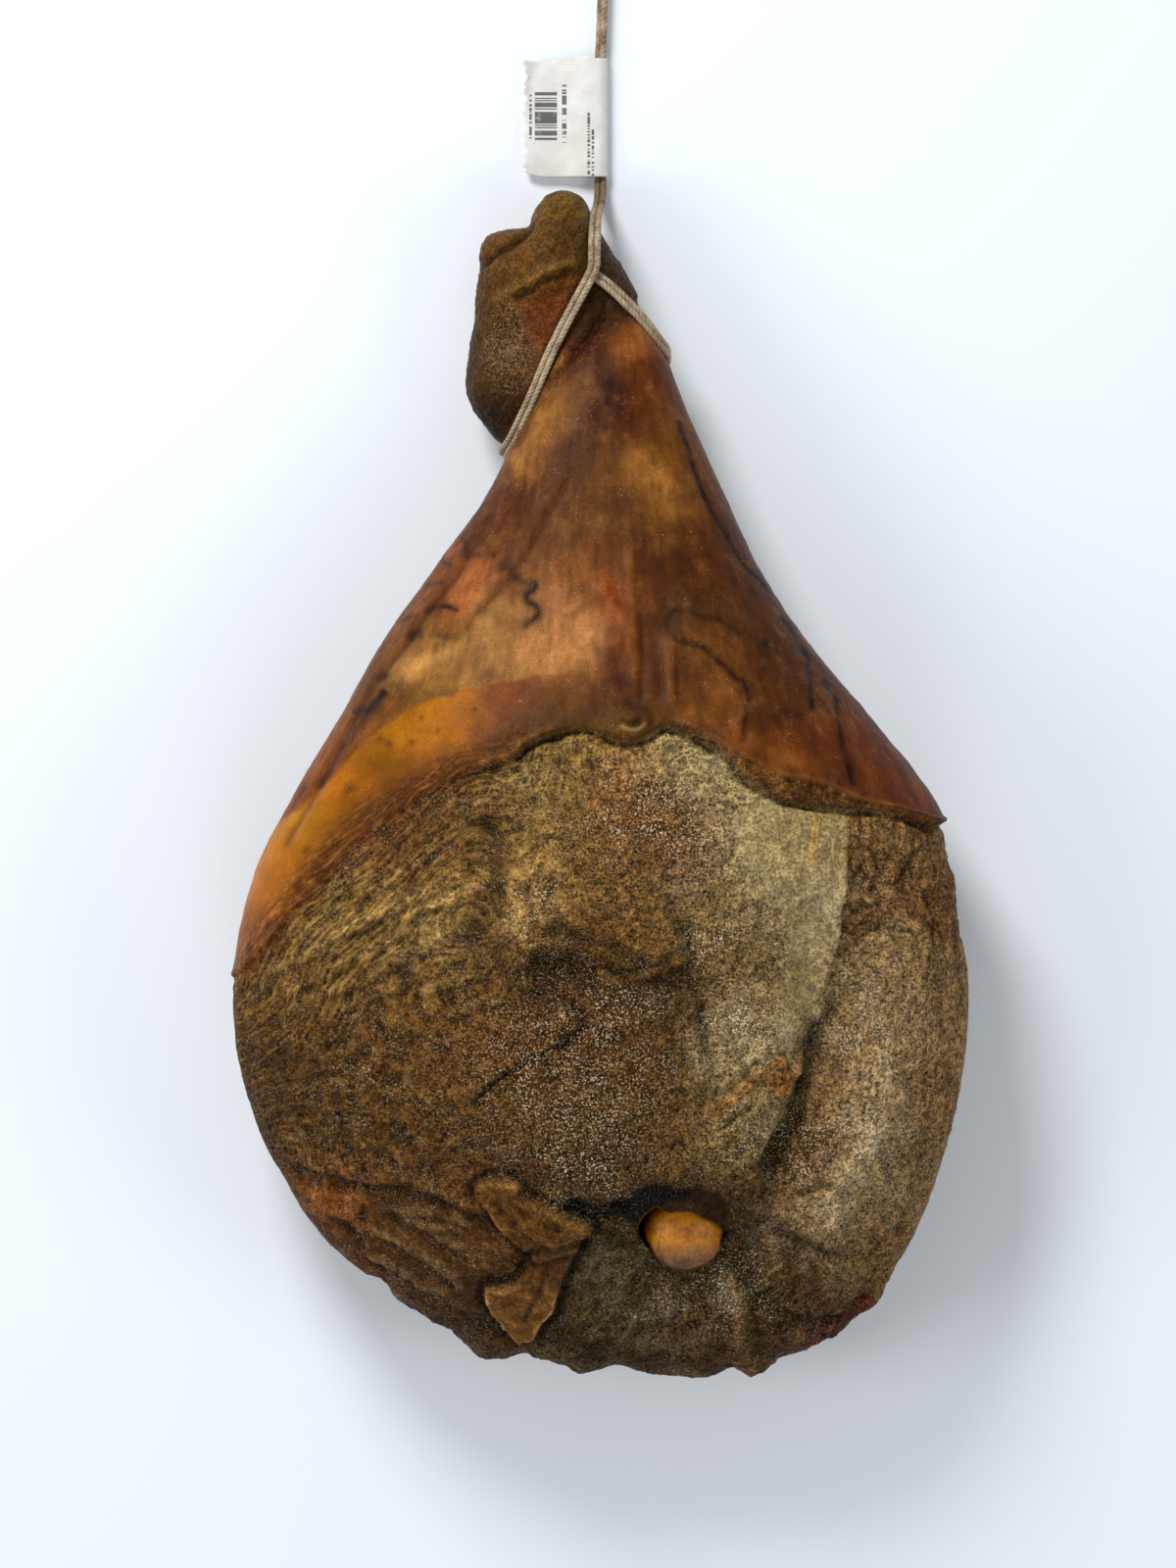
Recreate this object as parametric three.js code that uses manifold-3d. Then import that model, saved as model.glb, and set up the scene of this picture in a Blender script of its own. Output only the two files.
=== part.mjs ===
// A dry-cured leg of ham lying on its rind, cut face up, with the string it was hung by.
// Millimetres. +Z is up from the surface the ham rests on, +Y runs along the leg from the butt to
// the hock, +X is to the right when the cut face is looked down on with the hock away from you.
// The origin is on the surface, under the middle of the ham.

import * as THREE from 'three';
import { mergeVertices } from 'three/addons/utils/BufferGeometryUtils.js';
import Module from 'manifold-3d';

const wasm = await Module();
wasm.setup();

// ---- driving dimensions -------------------------------------------------------------------
const HAM_LENGTH = 552; // hock end to butt
const HAM_THICKNESS = 133; // rind to cut face at the thickest place
const FIT_GAP = 0.4; // left between pieces that touch
const STRING_RADIUS = 2.9; // the two strands of the hanging string, taken as one round cord
const STRING_SIDES = 8;
const STRING_STEPS = 36;
const NOOSE_STEPS = 56;
const EYE_STEPS = 24;
const SMOOTHING = 0.12; // how far the joined surface may move when slivers are merged away

const LEG_RINGS = 50; // rings of vertices along the leg
const LEG_SIDES = 56; // vertices round each ring
const HOCK_RINGS = 22;
const HOCK_SIDES = 30;

// The leg from the butt to the shank: y, left edge, right edge, underside, top.
// An underside below zero is pressed flat against the surface.
const BUTT_END = -HAM_LENGTH / 2;
const T = HAM_THICKNESS;
const LEG = [
  [BUTT_END, 36, 38, 0.3 * T, 0.32 * T],
  [BUTT_END + 4, -8, 74, 0.2 * T, 0.44 * T],
  [BUTT_END + 13, -58, 97, 0.11 * T, 0.58 * T],
  [BUTT_END + 31, -84, 122, 0.04 * T, 0.72 * T],
  [-209, -131, 146, -0.05 * T, 0.86 * T],
  [-155, -161, 164, -0.1 * T, 0.97 * T],
  [-100, -171, 171, -0.12 * T, T],
  [-46, -162, 164, -0.11 * T, T],
  [-10, -145, 155, -0.08 * T, 0.98 * T],
  [27, -123, 128, -0.04 * T, 0.92 * T],
  [63, -103, 98, 0.01 * T, 0.83 * T],
  [99, -78, 74, 0.04 * T, 0.73 * T],
  [136, -52, 57, 0.06 * T, 0.63 * T],
  [172, -36, 41, 0.07 * T, 0.54 * T],
  [200, -24, 30, 0.08 * T, 0.47 * T],
  [220, -12, 20, 0.12 * T, 0.41 * T],
  [229, 3, 9, 0.24 * T, 0.28 * T],
];

// The bent hock, which lies beside the top of the shank: y, left, right, underside, top.
const HOCK_END = HAM_LENGTH / 2;
const HOCK = [
  [HOCK_END - 121, -38, -36, 27, 29],
  [HOCK_END - 118, -46, -28, 20, 36],
  [HOCK_END - 108, -55, -12, 8, 47],
  [HOCK_END - 94, -63, 2, -1, 52],
  [HOCK_END - 76, -62, 16, -6, 53],
  [HOCK_END - 54, -59, 20, -8, 55],
  [HOCK_END - 36, -60, 11, -6, 56],
  [HOCK_END - 22, -50, 2, 0, 53],
  [HOCK_END - 11, -34, -4, 6, 46],
  [HOCK_END - 3, -28, -8, 14, 36],
  [HOCK_END, -20, -18, 24, 26],
];

// Swells and hollows of the cut face: x, y, half-width, half-length, turn in degrees, height.
const FACE_FORMS = [
  [-95, -90, 62, 80, -20, 5], // inside round, left of the face
  [0, -45, 48, 42, 0, 7], // top of the round
  [72, -30, 26, 70, 8, 6], // pale flank beside the round
  [132, -110, 26, 80, -6, 6], // flank muscle down the right edge
  [96, -140, 10, 62, -22, -12], // cleft between the round and the flank
  [45, -98, 34, 16, 10, -9], // hollow in the middle of the face
  [-15, -150, 50, 38, 20, 6], // swell above the hip joint
  [-98, -196, 55, 20, -12, -9], // step under the inside round
  [20, -236, 55, 26, 0, -7], // trimmed butt under the joint
];

// The hip joint: the ball of the thigh bone in its pit.
const BALL_CENTRE = new THREE.Vector3(38, -204, 95);
const BALL_RADIUS = 19;
const PIT_RADII = [31, 25, 30];

// ---- helpers --------------------------------------------------------------------------------
const toSolid = (geometry) => {
  const bare = geometry.clone();
  bare.deleteAttribute('normal');
  bare.deleteAttribute('uv');
  const welded = mergeVertices(bare, 1e-4);
  return new wasm.Manifold(new wasm.Mesh({
    numProp: 3,
    vertProperties: new Float32Array(welded.attributes.position.array),
    triVerts: new Uint32Array(welded.index.array),
  }));
};

const toGeometry = (solid) => {
  const { vertProperties, triVerts, numProp } = solid.getMesh();
  const geometry = new THREE.BufferGeometry();
  const points = new Float32Array((vertProperties.length / numProp) * 3);
  for (let i = 0; i < points.length / 3; i += 1) {
    for (let k = 0; k < 3; k += 1) points[3 * i + k] = vertProperties[numProp * i + k];
  }
  geometry.setAttribute('position', new THREE.BufferAttribute(points, 3));
  geometry.setIndex(new THREE.BufferAttribute(new Uint32Array(triVerts), 1));
  geometry.computeVertexNormals();
  return geometry;
};

// A smooth value along the stations' shared parameter, for one column of the table.
const column = (stations, k) =>
  new THREE.SplineCurve(stations.map((s, i) => new THREE.Vector2(i, s[k])));

// A signed power, for the superellipse.
const bulge = (value, exponent) => Math.sign(value) * Math.abs(value) ** exponent;

// A closed skin through rings of stations, with a point at each end.
function loft(stations, rings, sides, { squareness, waist, lift = () => 0 }) {
  const curves = [0, 1, 2, 3, 4].map((k) => column(stations, k));
  const points = [];
  const at = (t) => curves.map((curve) => curve.getPoint(t).y);
  for (let i = 1; i < rings - 1; i += 1) {
    const [y, left, right, under, top] = at(i / (rings - 1));
    const middle = under + (top - under) * waist;
    for (let k = 0; k < sides; k += 1) {
      const angle = (2 * Math.PI * k) / sides;
      const x = (left + right) / 2 + ((right - left) / 2) * bulge(Math.cos(angle), 2 / squareness);
      const reach = angle < Math.PI ? top - middle : middle - under;
      const rise = bulge(Math.sin(angle), 2 / squareness);
      const z = middle + reach * rise + Math.max(rise, 0) * lift(x, y);
      points.push(x, y, Math.max(z, 0));
    }
  }
  const ends = [at(0), at(1)].map(([y, left, right, under, top]) =>
    [(left + right) / 2, y, (under + top) / 2]);
  const first = points.length / 3;
  points.push(...ends[0], ...ends[1]);
  const faces = [];
  for (let k = 0; k < sides; k += 1) {
    const next = (k + 1) % sides;
    faces.push(first, k, next);
    for (let i = 0; i < rings - 3; i += 1) {
      const a = i * sides;
      const b = a + sides;
      faces.push(a + k, b + k, a + next, a + next, b + k, b + next);
    }
    const last = (rings - 3) * sides;
    faces.push(first + 1, last + next, last + k);
  }
  const geometry = new THREE.BufferGeometry();
  geometry.setAttribute('position', new THREE.Float32BufferAttribute(points, 3));
  geometry.setIndex(faces);
  return geometry;
}

// The height that the swells and hollows add at a place on the cut face.
const faceForm = (x, y) => FACE_FORMS.reduce((sum, [cx, cy, rx, ry, turn, height]) => {
  const a = THREE.MathUtils.degToRad(turn);
  const u = ((x - cx) * Math.cos(a) + (y - cy) * Math.sin(a)) / rx;
  const v = ((y - cy) * Math.cos(a) - (x - cx) * Math.sin(a)) / ry;
  return sum + height * Math.exp(-(u * u + v * v));
}, 0);

// A round tube along a smooth curve, with flat ends.
function tube(route, radius, steps) {
  const section = new THREE.Shape();
  section.absarc(0, 0, radius, 0, 2 * Math.PI);
  const extrudePath = new THREE.CatmullRomCurve3(route, false, 'centripetal');
  return new THREE.ExtrudeGeometry(section, {
    extrudePath, steps, curveSegments: STRING_SIDES / 2, bevelEnabled: false,
  });
}

// A round tube along a smooth closed curve, which has no ends.
const ringTube = (route, radius, steps) => new THREE.TubeGeometry(
  new THREE.CatmullRomCurve3(route, true, 'centripetal'), steps, radius, STRING_SIDES, true);

const point = (x, y, z) => new THREE.Vector3(x, y, z);

const finish = (colour, roughness) =>
  new THREE.MeshStandardMaterial({ color: colour, roughness, metalness: 0 });

const piece = (name, geometry, material) => {
  const mesh = new THREE.Mesh(geometry, material);
  mesh.name = name;
  return mesh;
};

// ---- the thigh bone's ball and neck -----------------------------------------------------------
// Turned about its own axis, ball at the origin, neck running down -Y before it is tilted.
function ballAndNeck(grow) {
  const profile = new THREE.Path();
  const neckRadius = 12 + grow;
  const neckEnd = -(BALL_RADIUS + 12 + grow);
  const radius = BALL_RADIUS + grow;
  const neckAngle = -Math.acos(neckRadius / radius);
  profile.moveTo(0, neckEnd);
  profile.lineTo(neckRadius, neckEnd);
  profile.lineTo(neckRadius, radius * Math.sin(neckAngle));
  profile.absarc(0, 0, radius, neckAngle, Math.PI / 2);
  const points = profile.getPoints(9);
  points[points.length - 1].x = 0;
  const lathe = new THREE.LatheGeometry(points, 24);
  lathe.rotateX(THREE.MathUtils.degToRad(78));
  lathe.translate(...BALL_CENTRE);
  return lathe;
}

// ---- the string's routes ------------------------------------------------------------------------
// The noose goes round the shank under the hock, and its two legs meet on the hock.
const NOOSE_ROUTE = [
  point(-4, 234, 54.5),
  point(6, 229, 52),
  point(17, 218, 51),
  point(27, 206, 44),
  point(31.5, 200, 32),
  point(25, 190, 17),
  point(6, 181, 9.5),
  point(-14, 170, 9.5),
  point(-34, 158, 14),
  point(-45, 153.5, 30),
  point(-40, 162, 47),
  point(-31, 181, 54),
  point(-23, 200, 55),
  point(-14, 219, 56),
];

// The free part: over the end of the hock, down to the surface and along it to the knot.
const STRING_LIE = 4.2; // height of its centreline on the surface, inside the label's fold
const STRING_END = 384;
const STRING_ROUTE = [
  point(-3, 241.5, 53.5),
  point(-3, 249, 50.5),
  point(-2.7, 257, 44),
  point(-2.3, 264, 35),
  point(-1.6, 268.5, 25),
  point(-0.9, 271.5, 15),
  point(-0.3, 275.5, 8),
  point(0, 282, STRING_LIE),
  point(0, 290, STRING_LIE),
  point(0, 302, STRING_LIE),
  point(0, 315, STRING_LIE),
  point(0, 328, STRING_LIE),
  point(0, 342, STRING_LIE),
  point(0.5, 356, STRING_LIE),
  point(1, 370, STRING_LIE),
  point(1.5, STRING_END, STRING_LIE),
];

// Past the knot one strand makes the eye that goes over a hook.
const KNOT_RADII = [6.5, 7, 4.2];
const KNOT_CENTRE = point(1.5, STRING_END + FIT_GAP + KNOT_RADII[1], KNOT_RADII[2]);
const EYE_START = KNOT_CENTRE.y + KNOT_RADII[1] + FIT_GAP;
const EYE_LENGTH = 34;
const EYE_HALF_WIDTH = 8;
const STRAND_RADIUS = STRING_RADIUS / 2;
const EYE_ROUTE = [[-0.3, 0], [-0.75, 0.25], [-1, 0.55], [-0.7, 0.88], [0, 1], [0.7, 0.88], [1, 0.55],
  [0.75, 0.25], [0.3, 0]].map(([across, along]) =>
  point(KNOT_CENTRE.x + across * EYE_HALF_WIDTH, EYE_START + along * EYE_LENGTH, STRAND_RADIUS + 0.3));

// ---- the weigh label ----------------------------------------------------------------------------
// A paper label folded round the string and stuck to itself, lying to the left of it.
const LABEL_LENGTH = 58; // along the string
const LABEL_START = 284;
const LABEL_REACH = 37; // from the string to the free edge
const PAPER = 0.45;

function foldedLabel() {
  const fold = STRING_RADIUS + FIT_GAP + PAPER;
  const underside = STRING_LIE - fold;
  const outline = new THREE.Shape();
  outline.moveTo(-LABEL_REACH, underside);
  outline.lineTo(0, underside);
  outline.absarc(0, STRING_LIE, fold, -Math.PI / 2, THREE.MathUtils.degToRad(200));
  outline.lineTo(-3 * fold, underside + 2 * PAPER);
  outline.lineTo(-LABEL_REACH, underside + 2 * PAPER);
  outline.holes.push(new THREE.Path().absarc(0, STRING_LIE, fold - PAPER, 0, 2 * Math.PI, true));
  const sheet = new THREE.ExtrudeGeometry(outline, {
    depth: LABEL_LENGTH, curveSegments: STRING_SIDES, bevelEnabled: false,
  });
  return sheet.rotateX(Math.PI / 2).translate(0, LABEL_START + LABEL_LENGTH, 0);
}

// ---- the ham --------------------------------------------------------------------------------
const leg = toSolid(loft(LEG, LEG_RINGS, LEG_SIDES, { squareness: 2.45, waist: 0.46, lift: faceForm }));
const hock = toSolid(loft(HOCK, HOCK_RINGS, HOCK_SIDES, { squareness: 2.3, waist: 0.5 }));
const pit = new THREE.SphereGeometry(1, 28, 18).scale(...PIT_RADII)
  .translate(BALL_CENTRE.x, BALL_CENTRE.y, BALL_CENTRE.z + 10);
const noose = ringTube(NOOSE_ROUTE, STRING_RADIUS, NOOSE_STEPS);
const nooseGroove = ringTube(NOOSE_ROUTE, STRING_RADIUS + FIT_GAP, NOOSE_STEPS);
const freeString = tube(STRING_ROUTE, STRING_RADIUS, STRING_STEPS);
const stringGroove = tube(STRING_ROUTE, STRING_RADIUS + FIT_GAP, STRING_STEPS);

const ham = leg.add(hock)
  .subtract(toSolid(pit))
  .subtract(toSolid(ballAndNeck(FIT_GAP)))
  .subtract(toSolid(nooseGroove))
  .subtract(toSolid(stringGroove))
  .simplify(SMOOTHING);

const knot = new THREE.SphereGeometry(1, 16, 12).scale(...KNOT_RADII).translate(...KNOT_CENTRE);

const twine = finish(0xa8926c, 0.8);

const model = new THREE.Group();
model.add(piece('ham', toGeometry(ham), finish(0x7a5330, 0.6)));
model.add(piece('femur_head', ballAndNeck(0), finish(0xb5762a, 0.45)));
model.add(piece('noose', noose, twine));
model.add(piece('hanging_string', freeString, twine));
model.add(piece('end_knot', knot, twine));
model.add(piece('hanging_eye', tube(EYE_ROUTE, STRAND_RADIUS, EYE_STEPS), twine));
model.add(piece('weigh_label', foldedLabel(), finish(0xdcd8d0, 0.7)));

export default model;
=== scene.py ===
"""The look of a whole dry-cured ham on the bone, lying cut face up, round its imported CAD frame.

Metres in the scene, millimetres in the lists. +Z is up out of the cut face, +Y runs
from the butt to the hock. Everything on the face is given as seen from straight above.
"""
import math

import bmesh
import bpy
import numpy as np
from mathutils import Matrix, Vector


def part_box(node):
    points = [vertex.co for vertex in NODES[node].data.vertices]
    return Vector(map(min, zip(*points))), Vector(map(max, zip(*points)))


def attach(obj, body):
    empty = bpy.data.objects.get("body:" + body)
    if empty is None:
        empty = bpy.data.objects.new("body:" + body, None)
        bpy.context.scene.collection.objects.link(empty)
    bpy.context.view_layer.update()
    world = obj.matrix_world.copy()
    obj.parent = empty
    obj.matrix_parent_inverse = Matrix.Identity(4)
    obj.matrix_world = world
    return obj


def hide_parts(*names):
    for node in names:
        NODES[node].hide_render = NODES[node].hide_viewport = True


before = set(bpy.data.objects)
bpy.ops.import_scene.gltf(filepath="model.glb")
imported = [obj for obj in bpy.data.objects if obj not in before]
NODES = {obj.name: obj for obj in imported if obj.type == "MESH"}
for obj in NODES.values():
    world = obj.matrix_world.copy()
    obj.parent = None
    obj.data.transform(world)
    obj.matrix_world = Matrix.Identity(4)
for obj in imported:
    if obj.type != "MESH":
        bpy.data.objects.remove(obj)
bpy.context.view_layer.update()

MM = 0.001
SCENE = bpy.context.scene

# ---- camera ------------------------------------------------------------------------------------
# Straight above the ham, hock at the top, the frame 725 mm tall at the height of its outline.
VIEW_FROM = (-5.9, -0.5, 3000.0)
OUTLINE_Z = 65.0
FRAME_TALL = 725.0
cam_data = bpy.data.cameras.new("camera")
cam_data.sensor_width = 36.0
cam_data.lens = 36.0 * (VIEW_FROM[2] - OUTLINE_Z) / FRAME_TALL
cam_data.clip_start, cam_data.clip_end = 0.05, 20.0
camera = bpy.data.objects.new("camera", cam_data)
camera.location = [v * MM for v in VIEW_FROM]
SCENE.collection.objects.link(camera)
SCENE.camera = camera


# ---- small tools -------------------------------------------------------------------------------
def colour(r, g, b):
    """An sRGB colour, 0 to 255, as linear numbers."""
    c = np.array([r, g, b]) / 255.0
    return np.where(c <= 0.04045, c / 12.92, ((c + 0.055) / 1.055) ** 2.4)


def ramp(x, low, high):
    """0 below low, 1 above high, smooth between; low may be above high."""
    t = np.clip((x - low) / (high - low), 0.0, 1.0)
    return t * t * (3 - 2 * t)


def noise(p, size, seed=0):
    """Gradient noise, about -1 to 1, at points p, with bumps about size across."""
    q = p / size + seed * 17.31
    base = np.floor(q)
    f = q - base
    base = base.astype(np.int64)
    u = f * f * f * (f * (f * 6 - 15) + 10)
    total = np.zeros(len(p))
    for corner in range(8):
        o = np.array([corner & 1, corner >> 1 & 1, corner >> 2 & 1])
        i = base + o
        h = (i[:, 0] * 374761393 + i[:, 1] * 668265263 + i[:, 2] * 1442695041 + seed * 97) & 0xFFFFFFFF
        h = ((h ^ (h >> 13)) * 1274126177) & 0xFFFFFFFF
        h ^= h >> 16
        d = f - o
        g = (
            ((h & 1023) / 511.5 - 1) * d[:, 0]
            + ((h >> 10 & 1023) / 511.5 - 1) * d[:, 1]
            + ((h >> 20 & 1023) / 511.5 - 1) * d[:, 2]
        )
        total += g * np.prod(np.where(o == 1, u, 1 - u), axis=1)
    return total * 1.6


def fbm(p, size, octaves, seed=0, gain=0.55):
    total, amount = np.zeros(len(p)), 1.0
    for k in range(octaves):
        total += amount * noise(p, size / 2**k, seed + k)
        amount *= gain
    return total


def catmull(points, closed=False, step=0.002):
    """Points along a centripetal Catmull-Rom curve through the given ones, about step apart."""
    p = np.array(points, float)
    if closed:
        p = np.vstack([p[-1], p, p[0], p[1]])
    else:
        p = np.vstack([2 * p[0] - p[1], p, 2 * p[-1] - p[-2]])
    out = []
    for k in range(1, len(p) - 2):
        p0, p1, p2, p3 = p[k - 1 : k + 3]
        t0 = 0.0
        t1 = t0 + max(np.linalg.norm(p1 - p0), 1e-9) ** 0.5
        t2 = t1 + max(np.linalg.norm(p2 - p1), 1e-9) ** 0.5
        t3 = t2 + max(np.linalg.norm(p3 - p2), 1e-9) ** 0.5
        n = max(1, int(round(np.linalg.norm(p2 - p1) / step)))
        for t in np.linspace(t1, t2, n, endpoint=False):
            a1 = (t1 - t) / (t1 - t0) * p0 + (t - t0) / (t1 - t0) * p1
            a2 = (t2 - t) / (t2 - t1) * p1 + (t - t1) / (t2 - t1) * p2
            a3 = (t3 - t) / (t3 - t2) * p2 + (t - t2) / (t3 - t2) * p3
            b1 = (t2 - t) / (t2 - t0) * a1 + (t - t0) / (t2 - t0) * a2
            b2 = (t3 - t) / (t3 - t1) * a2 + (t - t1) / (t3 - t1) * a3
            out.append((t2 - t) / (t2 - t1) * b1 + (t - t1) / (t2 - t1) * b2)
    if not closed:
        out.append(p[-2])
    return np.array(out)


def new_object(name, verts, faces, material):
    mesh = bpy.data.meshes.new(name)
    mesh.from_pydata(np.asarray(verts).tolist(), [], faces)
    mesh.polygons.foreach_set("use_smooth", [True] * len(mesh.polygons))
    obj = bpy.data.objects.new(name, mesh)
    SCENE.collection.objects.link(obj)
    mesh.materials.append(material)
    return obj


def set_attribute(mesh, name, values):
    values = np.asarray(values, np.float32)
    if values.ndim == 1:
        mesh.attributes.new(name, "FLOAT", "POINT").data.foreach_set("value", values)
    else:
        rgba = np.ones((len(values), 4), np.float32)
        rgba[:, :3] = values
        mesh.attributes.new(name, "FLOAT_COLOR", "POINT").data.foreach_set("color", rgba.ravel())


# ---- materials by nodes ------------------------------------------------------------------------
class Nodes:
    """A short way to write a node material."""

    def __init__(self, name):
        self.material = bpy.data.materials.new(name)
        self.material.use_nodes = True
        self.tree = self.material.node_tree
        self.shader = self.tree.nodes["Principled BSDF"]
        coords = self.tree.nodes.new("ShaderNodeTexCoord")
        self.place = coords.outputs["Object"]

    def put(self, node, name, value):
        if value is None:
            return
        socket = node.inputs[name]
        if isinstance(value, bpy.types.NodeSocket):
            self.tree.links.new(value, socket)
        else:
            socket.default_value = value

    def math(self, operation, a, b=None, clamp=False):
        node = self.tree.nodes.new("ShaderNodeMath")
        node.operation, node.use_clamp = operation, clamp
        self.put(node, 0, a)
        self.put(node, 1, b)
        return node.outputs[0]

    def times(self, a, b):
        return self.math("MULTIPLY", a, b)

    def plus(self, a, b):
        return self.math("ADD", a, b)

    def minus(self, a, b, clamp=False):
        return self.math("SUBTRACT", a, b, clamp)

    def span(self, value, low, high, to_low=0.0, to_high=1.0):
        node = self.tree.nodes.new("ShaderNodeMapRange")
        node.interpolation_type = "SMOOTHSTEP"
        for name, v in (
            ("Value", value), ("From Min", low), ("From Max", high),
            ("To Min", to_low), ("To Max", to_high),
        ):
            self.put(node, name, v)
        return node.outputs["Result"]

    def read(self, name, as_colour=False):
        node = self.tree.nodes.new("ShaderNodeAttribute")
        node.attribute_name = name
        return node.outputs["Color" if as_colour else "Fac"]

    def noise(self, scale, detail=2.0, rough=0.55, where=None):
        node = self.tree.nodes.new("ShaderNodeTexNoise")
        for name, v in (
            ("Vector", where or self.place), ("Scale", scale), ("Detail", detail),
            ("Roughness", rough),
        ):
            self.put(node, name, v)
        return node.outputs["Fac"]

    def cells(self, scale):
        node = self.tree.nodes.new("ShaderNodeTexVoronoi")
        self.put(node, "Vector", self.place)
        self.put(node, "Scale", scale)
        return node.outputs["Distance"]

    def combine(self, x, y, z):
        node = self.tree.nodes.new("ShaderNodeCombineXYZ")
        for k, v in enumerate((x, y, z)):
            self.put(node, k, v)
        return node.outputs[0]

    def split(self, vector):
        node = self.tree.nodes.new("ShaderNodeSeparateXYZ")
        self.put(node, 0, vector)
        return node.outputs

    def mix(self, factor, a, b, kind="MIX"):
        node = self.tree.nodes.new("ShaderNodeMix")
        node.data_type, node.blend_type = "RGBA", kind
        for k, v in ((0, factor), (6, a), (7, b)):
            if isinstance(v, (tuple, list, np.ndarray)):
                v = (*[float(c) for c in v[:3]], 1.0)
            self.put(node, k, v)
        return node.outputs[2]

    def scale_colour(self, tint, amount):
        node = self.tree.nodes.new("ShaderNodeVectorMath")
        node.operation = "SCALE"
        self.put(node, 0, tint)
        self.put(node, 3, amount)
        return node.outputs[0]

    def bump(self, height, distance, strength=1.0):
        node = self.tree.nodes.new("ShaderNodeBump")
        self.put(node, "Height", height)
        self.put(node, "Distance", distance)
        self.put(node, "Strength", strength)
        return node.outputs[0]

    def set(self, **inputs):
        for name, value in inputs.items():
            self.put(self.shader, name.replace("_", " "), value)


def twine_material():
    """Waxed two-strand string: fine fibres that wind round each strand, and brown grime."""
    m = Nodes("waxed_twine")
    along, around = m.read("along"), m.read("around")
    lay = m.plus(m.times(along, 900.0), around)
    ridges = m.math("ABSOLUTE", m.math("SINE", m.times(lay, 1.5)))
    fibre = m.noise(1.0, 3.0, 0.6, m.combine(m.times(along, 250.0), m.times(around, 3.0), 0.0))
    grime = m.noise(110.0, 4.0, 0.65)
    base = m.mix(m.span(fibre, 0.3, 0.7), colour(138, 116, 88), colour(196, 176, 144))
    base = m.mix(m.span(grime, 0.45, 0.72), base, colour(104, 78, 50))
    # Browner where the string crosses the hock's end and low down under the shank.
    base = m.mix(m.times(m.read("browned"), 0.85), base, colour(92, 62, 36))
    # Darker in the grooves of the lay between the fibres: painted shade.
    base = m.scale_colour(base, m.span(ridges, 0.0, 0.6, 0.62, 1.05))
    height = m.plus(m.times(ridges, 0.5), m.times(fibre, 0.5))
    m.set(Base_Color=base, Roughness=m.span(grime, 0.3, 0.7, 0.5, 0.7), Normal=m.bump(height, 0.0005, 0.9))
    m.set(Specular_IOR_Level=0.35)
    return m.material


TWINE = twine_material()

# ---- the string --------------------------------------------------------------------------------
STRAND = 1.5 * MM
STRAND_SIDES = 10
APART = 1.42 * MM  # each strand's centre from the pair's centreline


def strand_mesh(name, routes, browned=None):
    """Round strands along routes of (points, radius), closed at their ends, as one object."""
    verts, faces, along_all, around_all, browned_all = [], [], [], [], []
    for points, radius, closed in routes:
        n = len(points)
        step = np.linalg.norm(np.diff(points, axis=0), axis=1)
        s = np.concatenate([[0.0], np.cumsum(step)])
        tangent = np.gradient(points, axis=0)
        if closed:
            tangent = np.roll(points, -1, axis=0) - np.roll(points, 1, axis=0)
        tangent /= np.linalg.norm(tangent, axis=1)[:, None]
        side = np.cross(tangent[0], [0.0, 0.0, 1.0])
        if np.linalg.norm(side) < 0.2:
            side = np.array([1.0, 0.0, 0.0])
        first = len(verts)
        for k in range(n):
            side = side - tangent[k] * (side @ tangent[k])
            side /= np.linalg.norm(side)
            up = np.cross(side, tangent[k])
            for j in range(STRAND_SIDES):
                a = 2 * math.pi * j / STRAND_SIDES
                verts.append(points[k] + radius * (math.cos(a) * side + math.sin(a) * up))
                along_all.append(s[k])
                around_all.append(a)
                browned_all.append(0.0 if browned is None else browned(points[k]))
        last = n if closed else n - 1
        for k in range(last):
            a, b = first + k * STRAND_SIDES, first + (k + 1) % n * STRAND_SIDES
            for j in range(STRAND_SIDES):
                i = (j + 1) % STRAND_SIDES
                faces.append((a + j, a + i, b + i, b + j))
        if not closed:
            faces.append(tuple(first + j for j in reversed(range(STRAND_SIDES))))
            faces.append(tuple(first + (n - 1) * STRAND_SIDES + j for j in range(STRAND_SIDES)))
    obj = new_object(name, verts, faces, TWINE)
    bm = bmesh.new()
    bm.from_mesh(obj.data)
    bmesh.ops.recalc_face_normals(bm, faces=bm.faces)
    bm.to_mesh(obj.data)
    bm.free()
    set_attribute(obj.data, "along", along_all)
    set_attribute(obj.data, "around", around_all)
    set_attribute(obj.data, "browned", browned_all)
    return obj


def beside(points, out, turn=0.0):
    """The two strands either side of a centreline; out is the direction away from what it lies on."""
    tangent = np.gradient(points, axis=0)
    tangent /= np.linalg.norm(tangent, axis=1)[:, None]
    out = out - tangent * np.sum(out * tangent, axis=1)[:, None]
    out /= np.linalg.norm(out, axis=1)[:, None]
    side = np.cross(tangent, out)
    angle = np.linspace(0.0, turn, len(points))[:, None]
    shift = APART * (np.cos(angle) * side + np.sin(angle) * out)
    return points + shift, points - shift


# The free string's centreline, from the noose's crossing over the hock's end and along the surface.
STRING_ROUTE = [
    (-3, 241.5, 53.5), (-3, 249, 50.5), (-2.7, 257, 44), (-2.3, 264, 35), (-1.6, 268.5, 25),
    (-0.9, 271.5, 15), (-0.3, 275.5, 8), (0, 282, 4.2), (0, 290, 4.2), (0, 302, 4.2), (0, 315, 4.2),
    (0, 328, 4.2), (0, 342, 4.2), (0.5, 356, 4.2), (1, 370, 4.2), (1.5, 384, 4.2),
]
string_line = catmull(np.array(STRING_ROUTE) * MM, step=0.0025)
string_out = np.tile([0.0, 0.35, 1.0], (len(string_line), 1))


def grimy(p):
    """Brown where the string comes down over the hock's end."""
    return float(ramp(p[1], 0.262, 0.275) * ramp(p[1], 0.292, 0.28)) * 0.8


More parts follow.
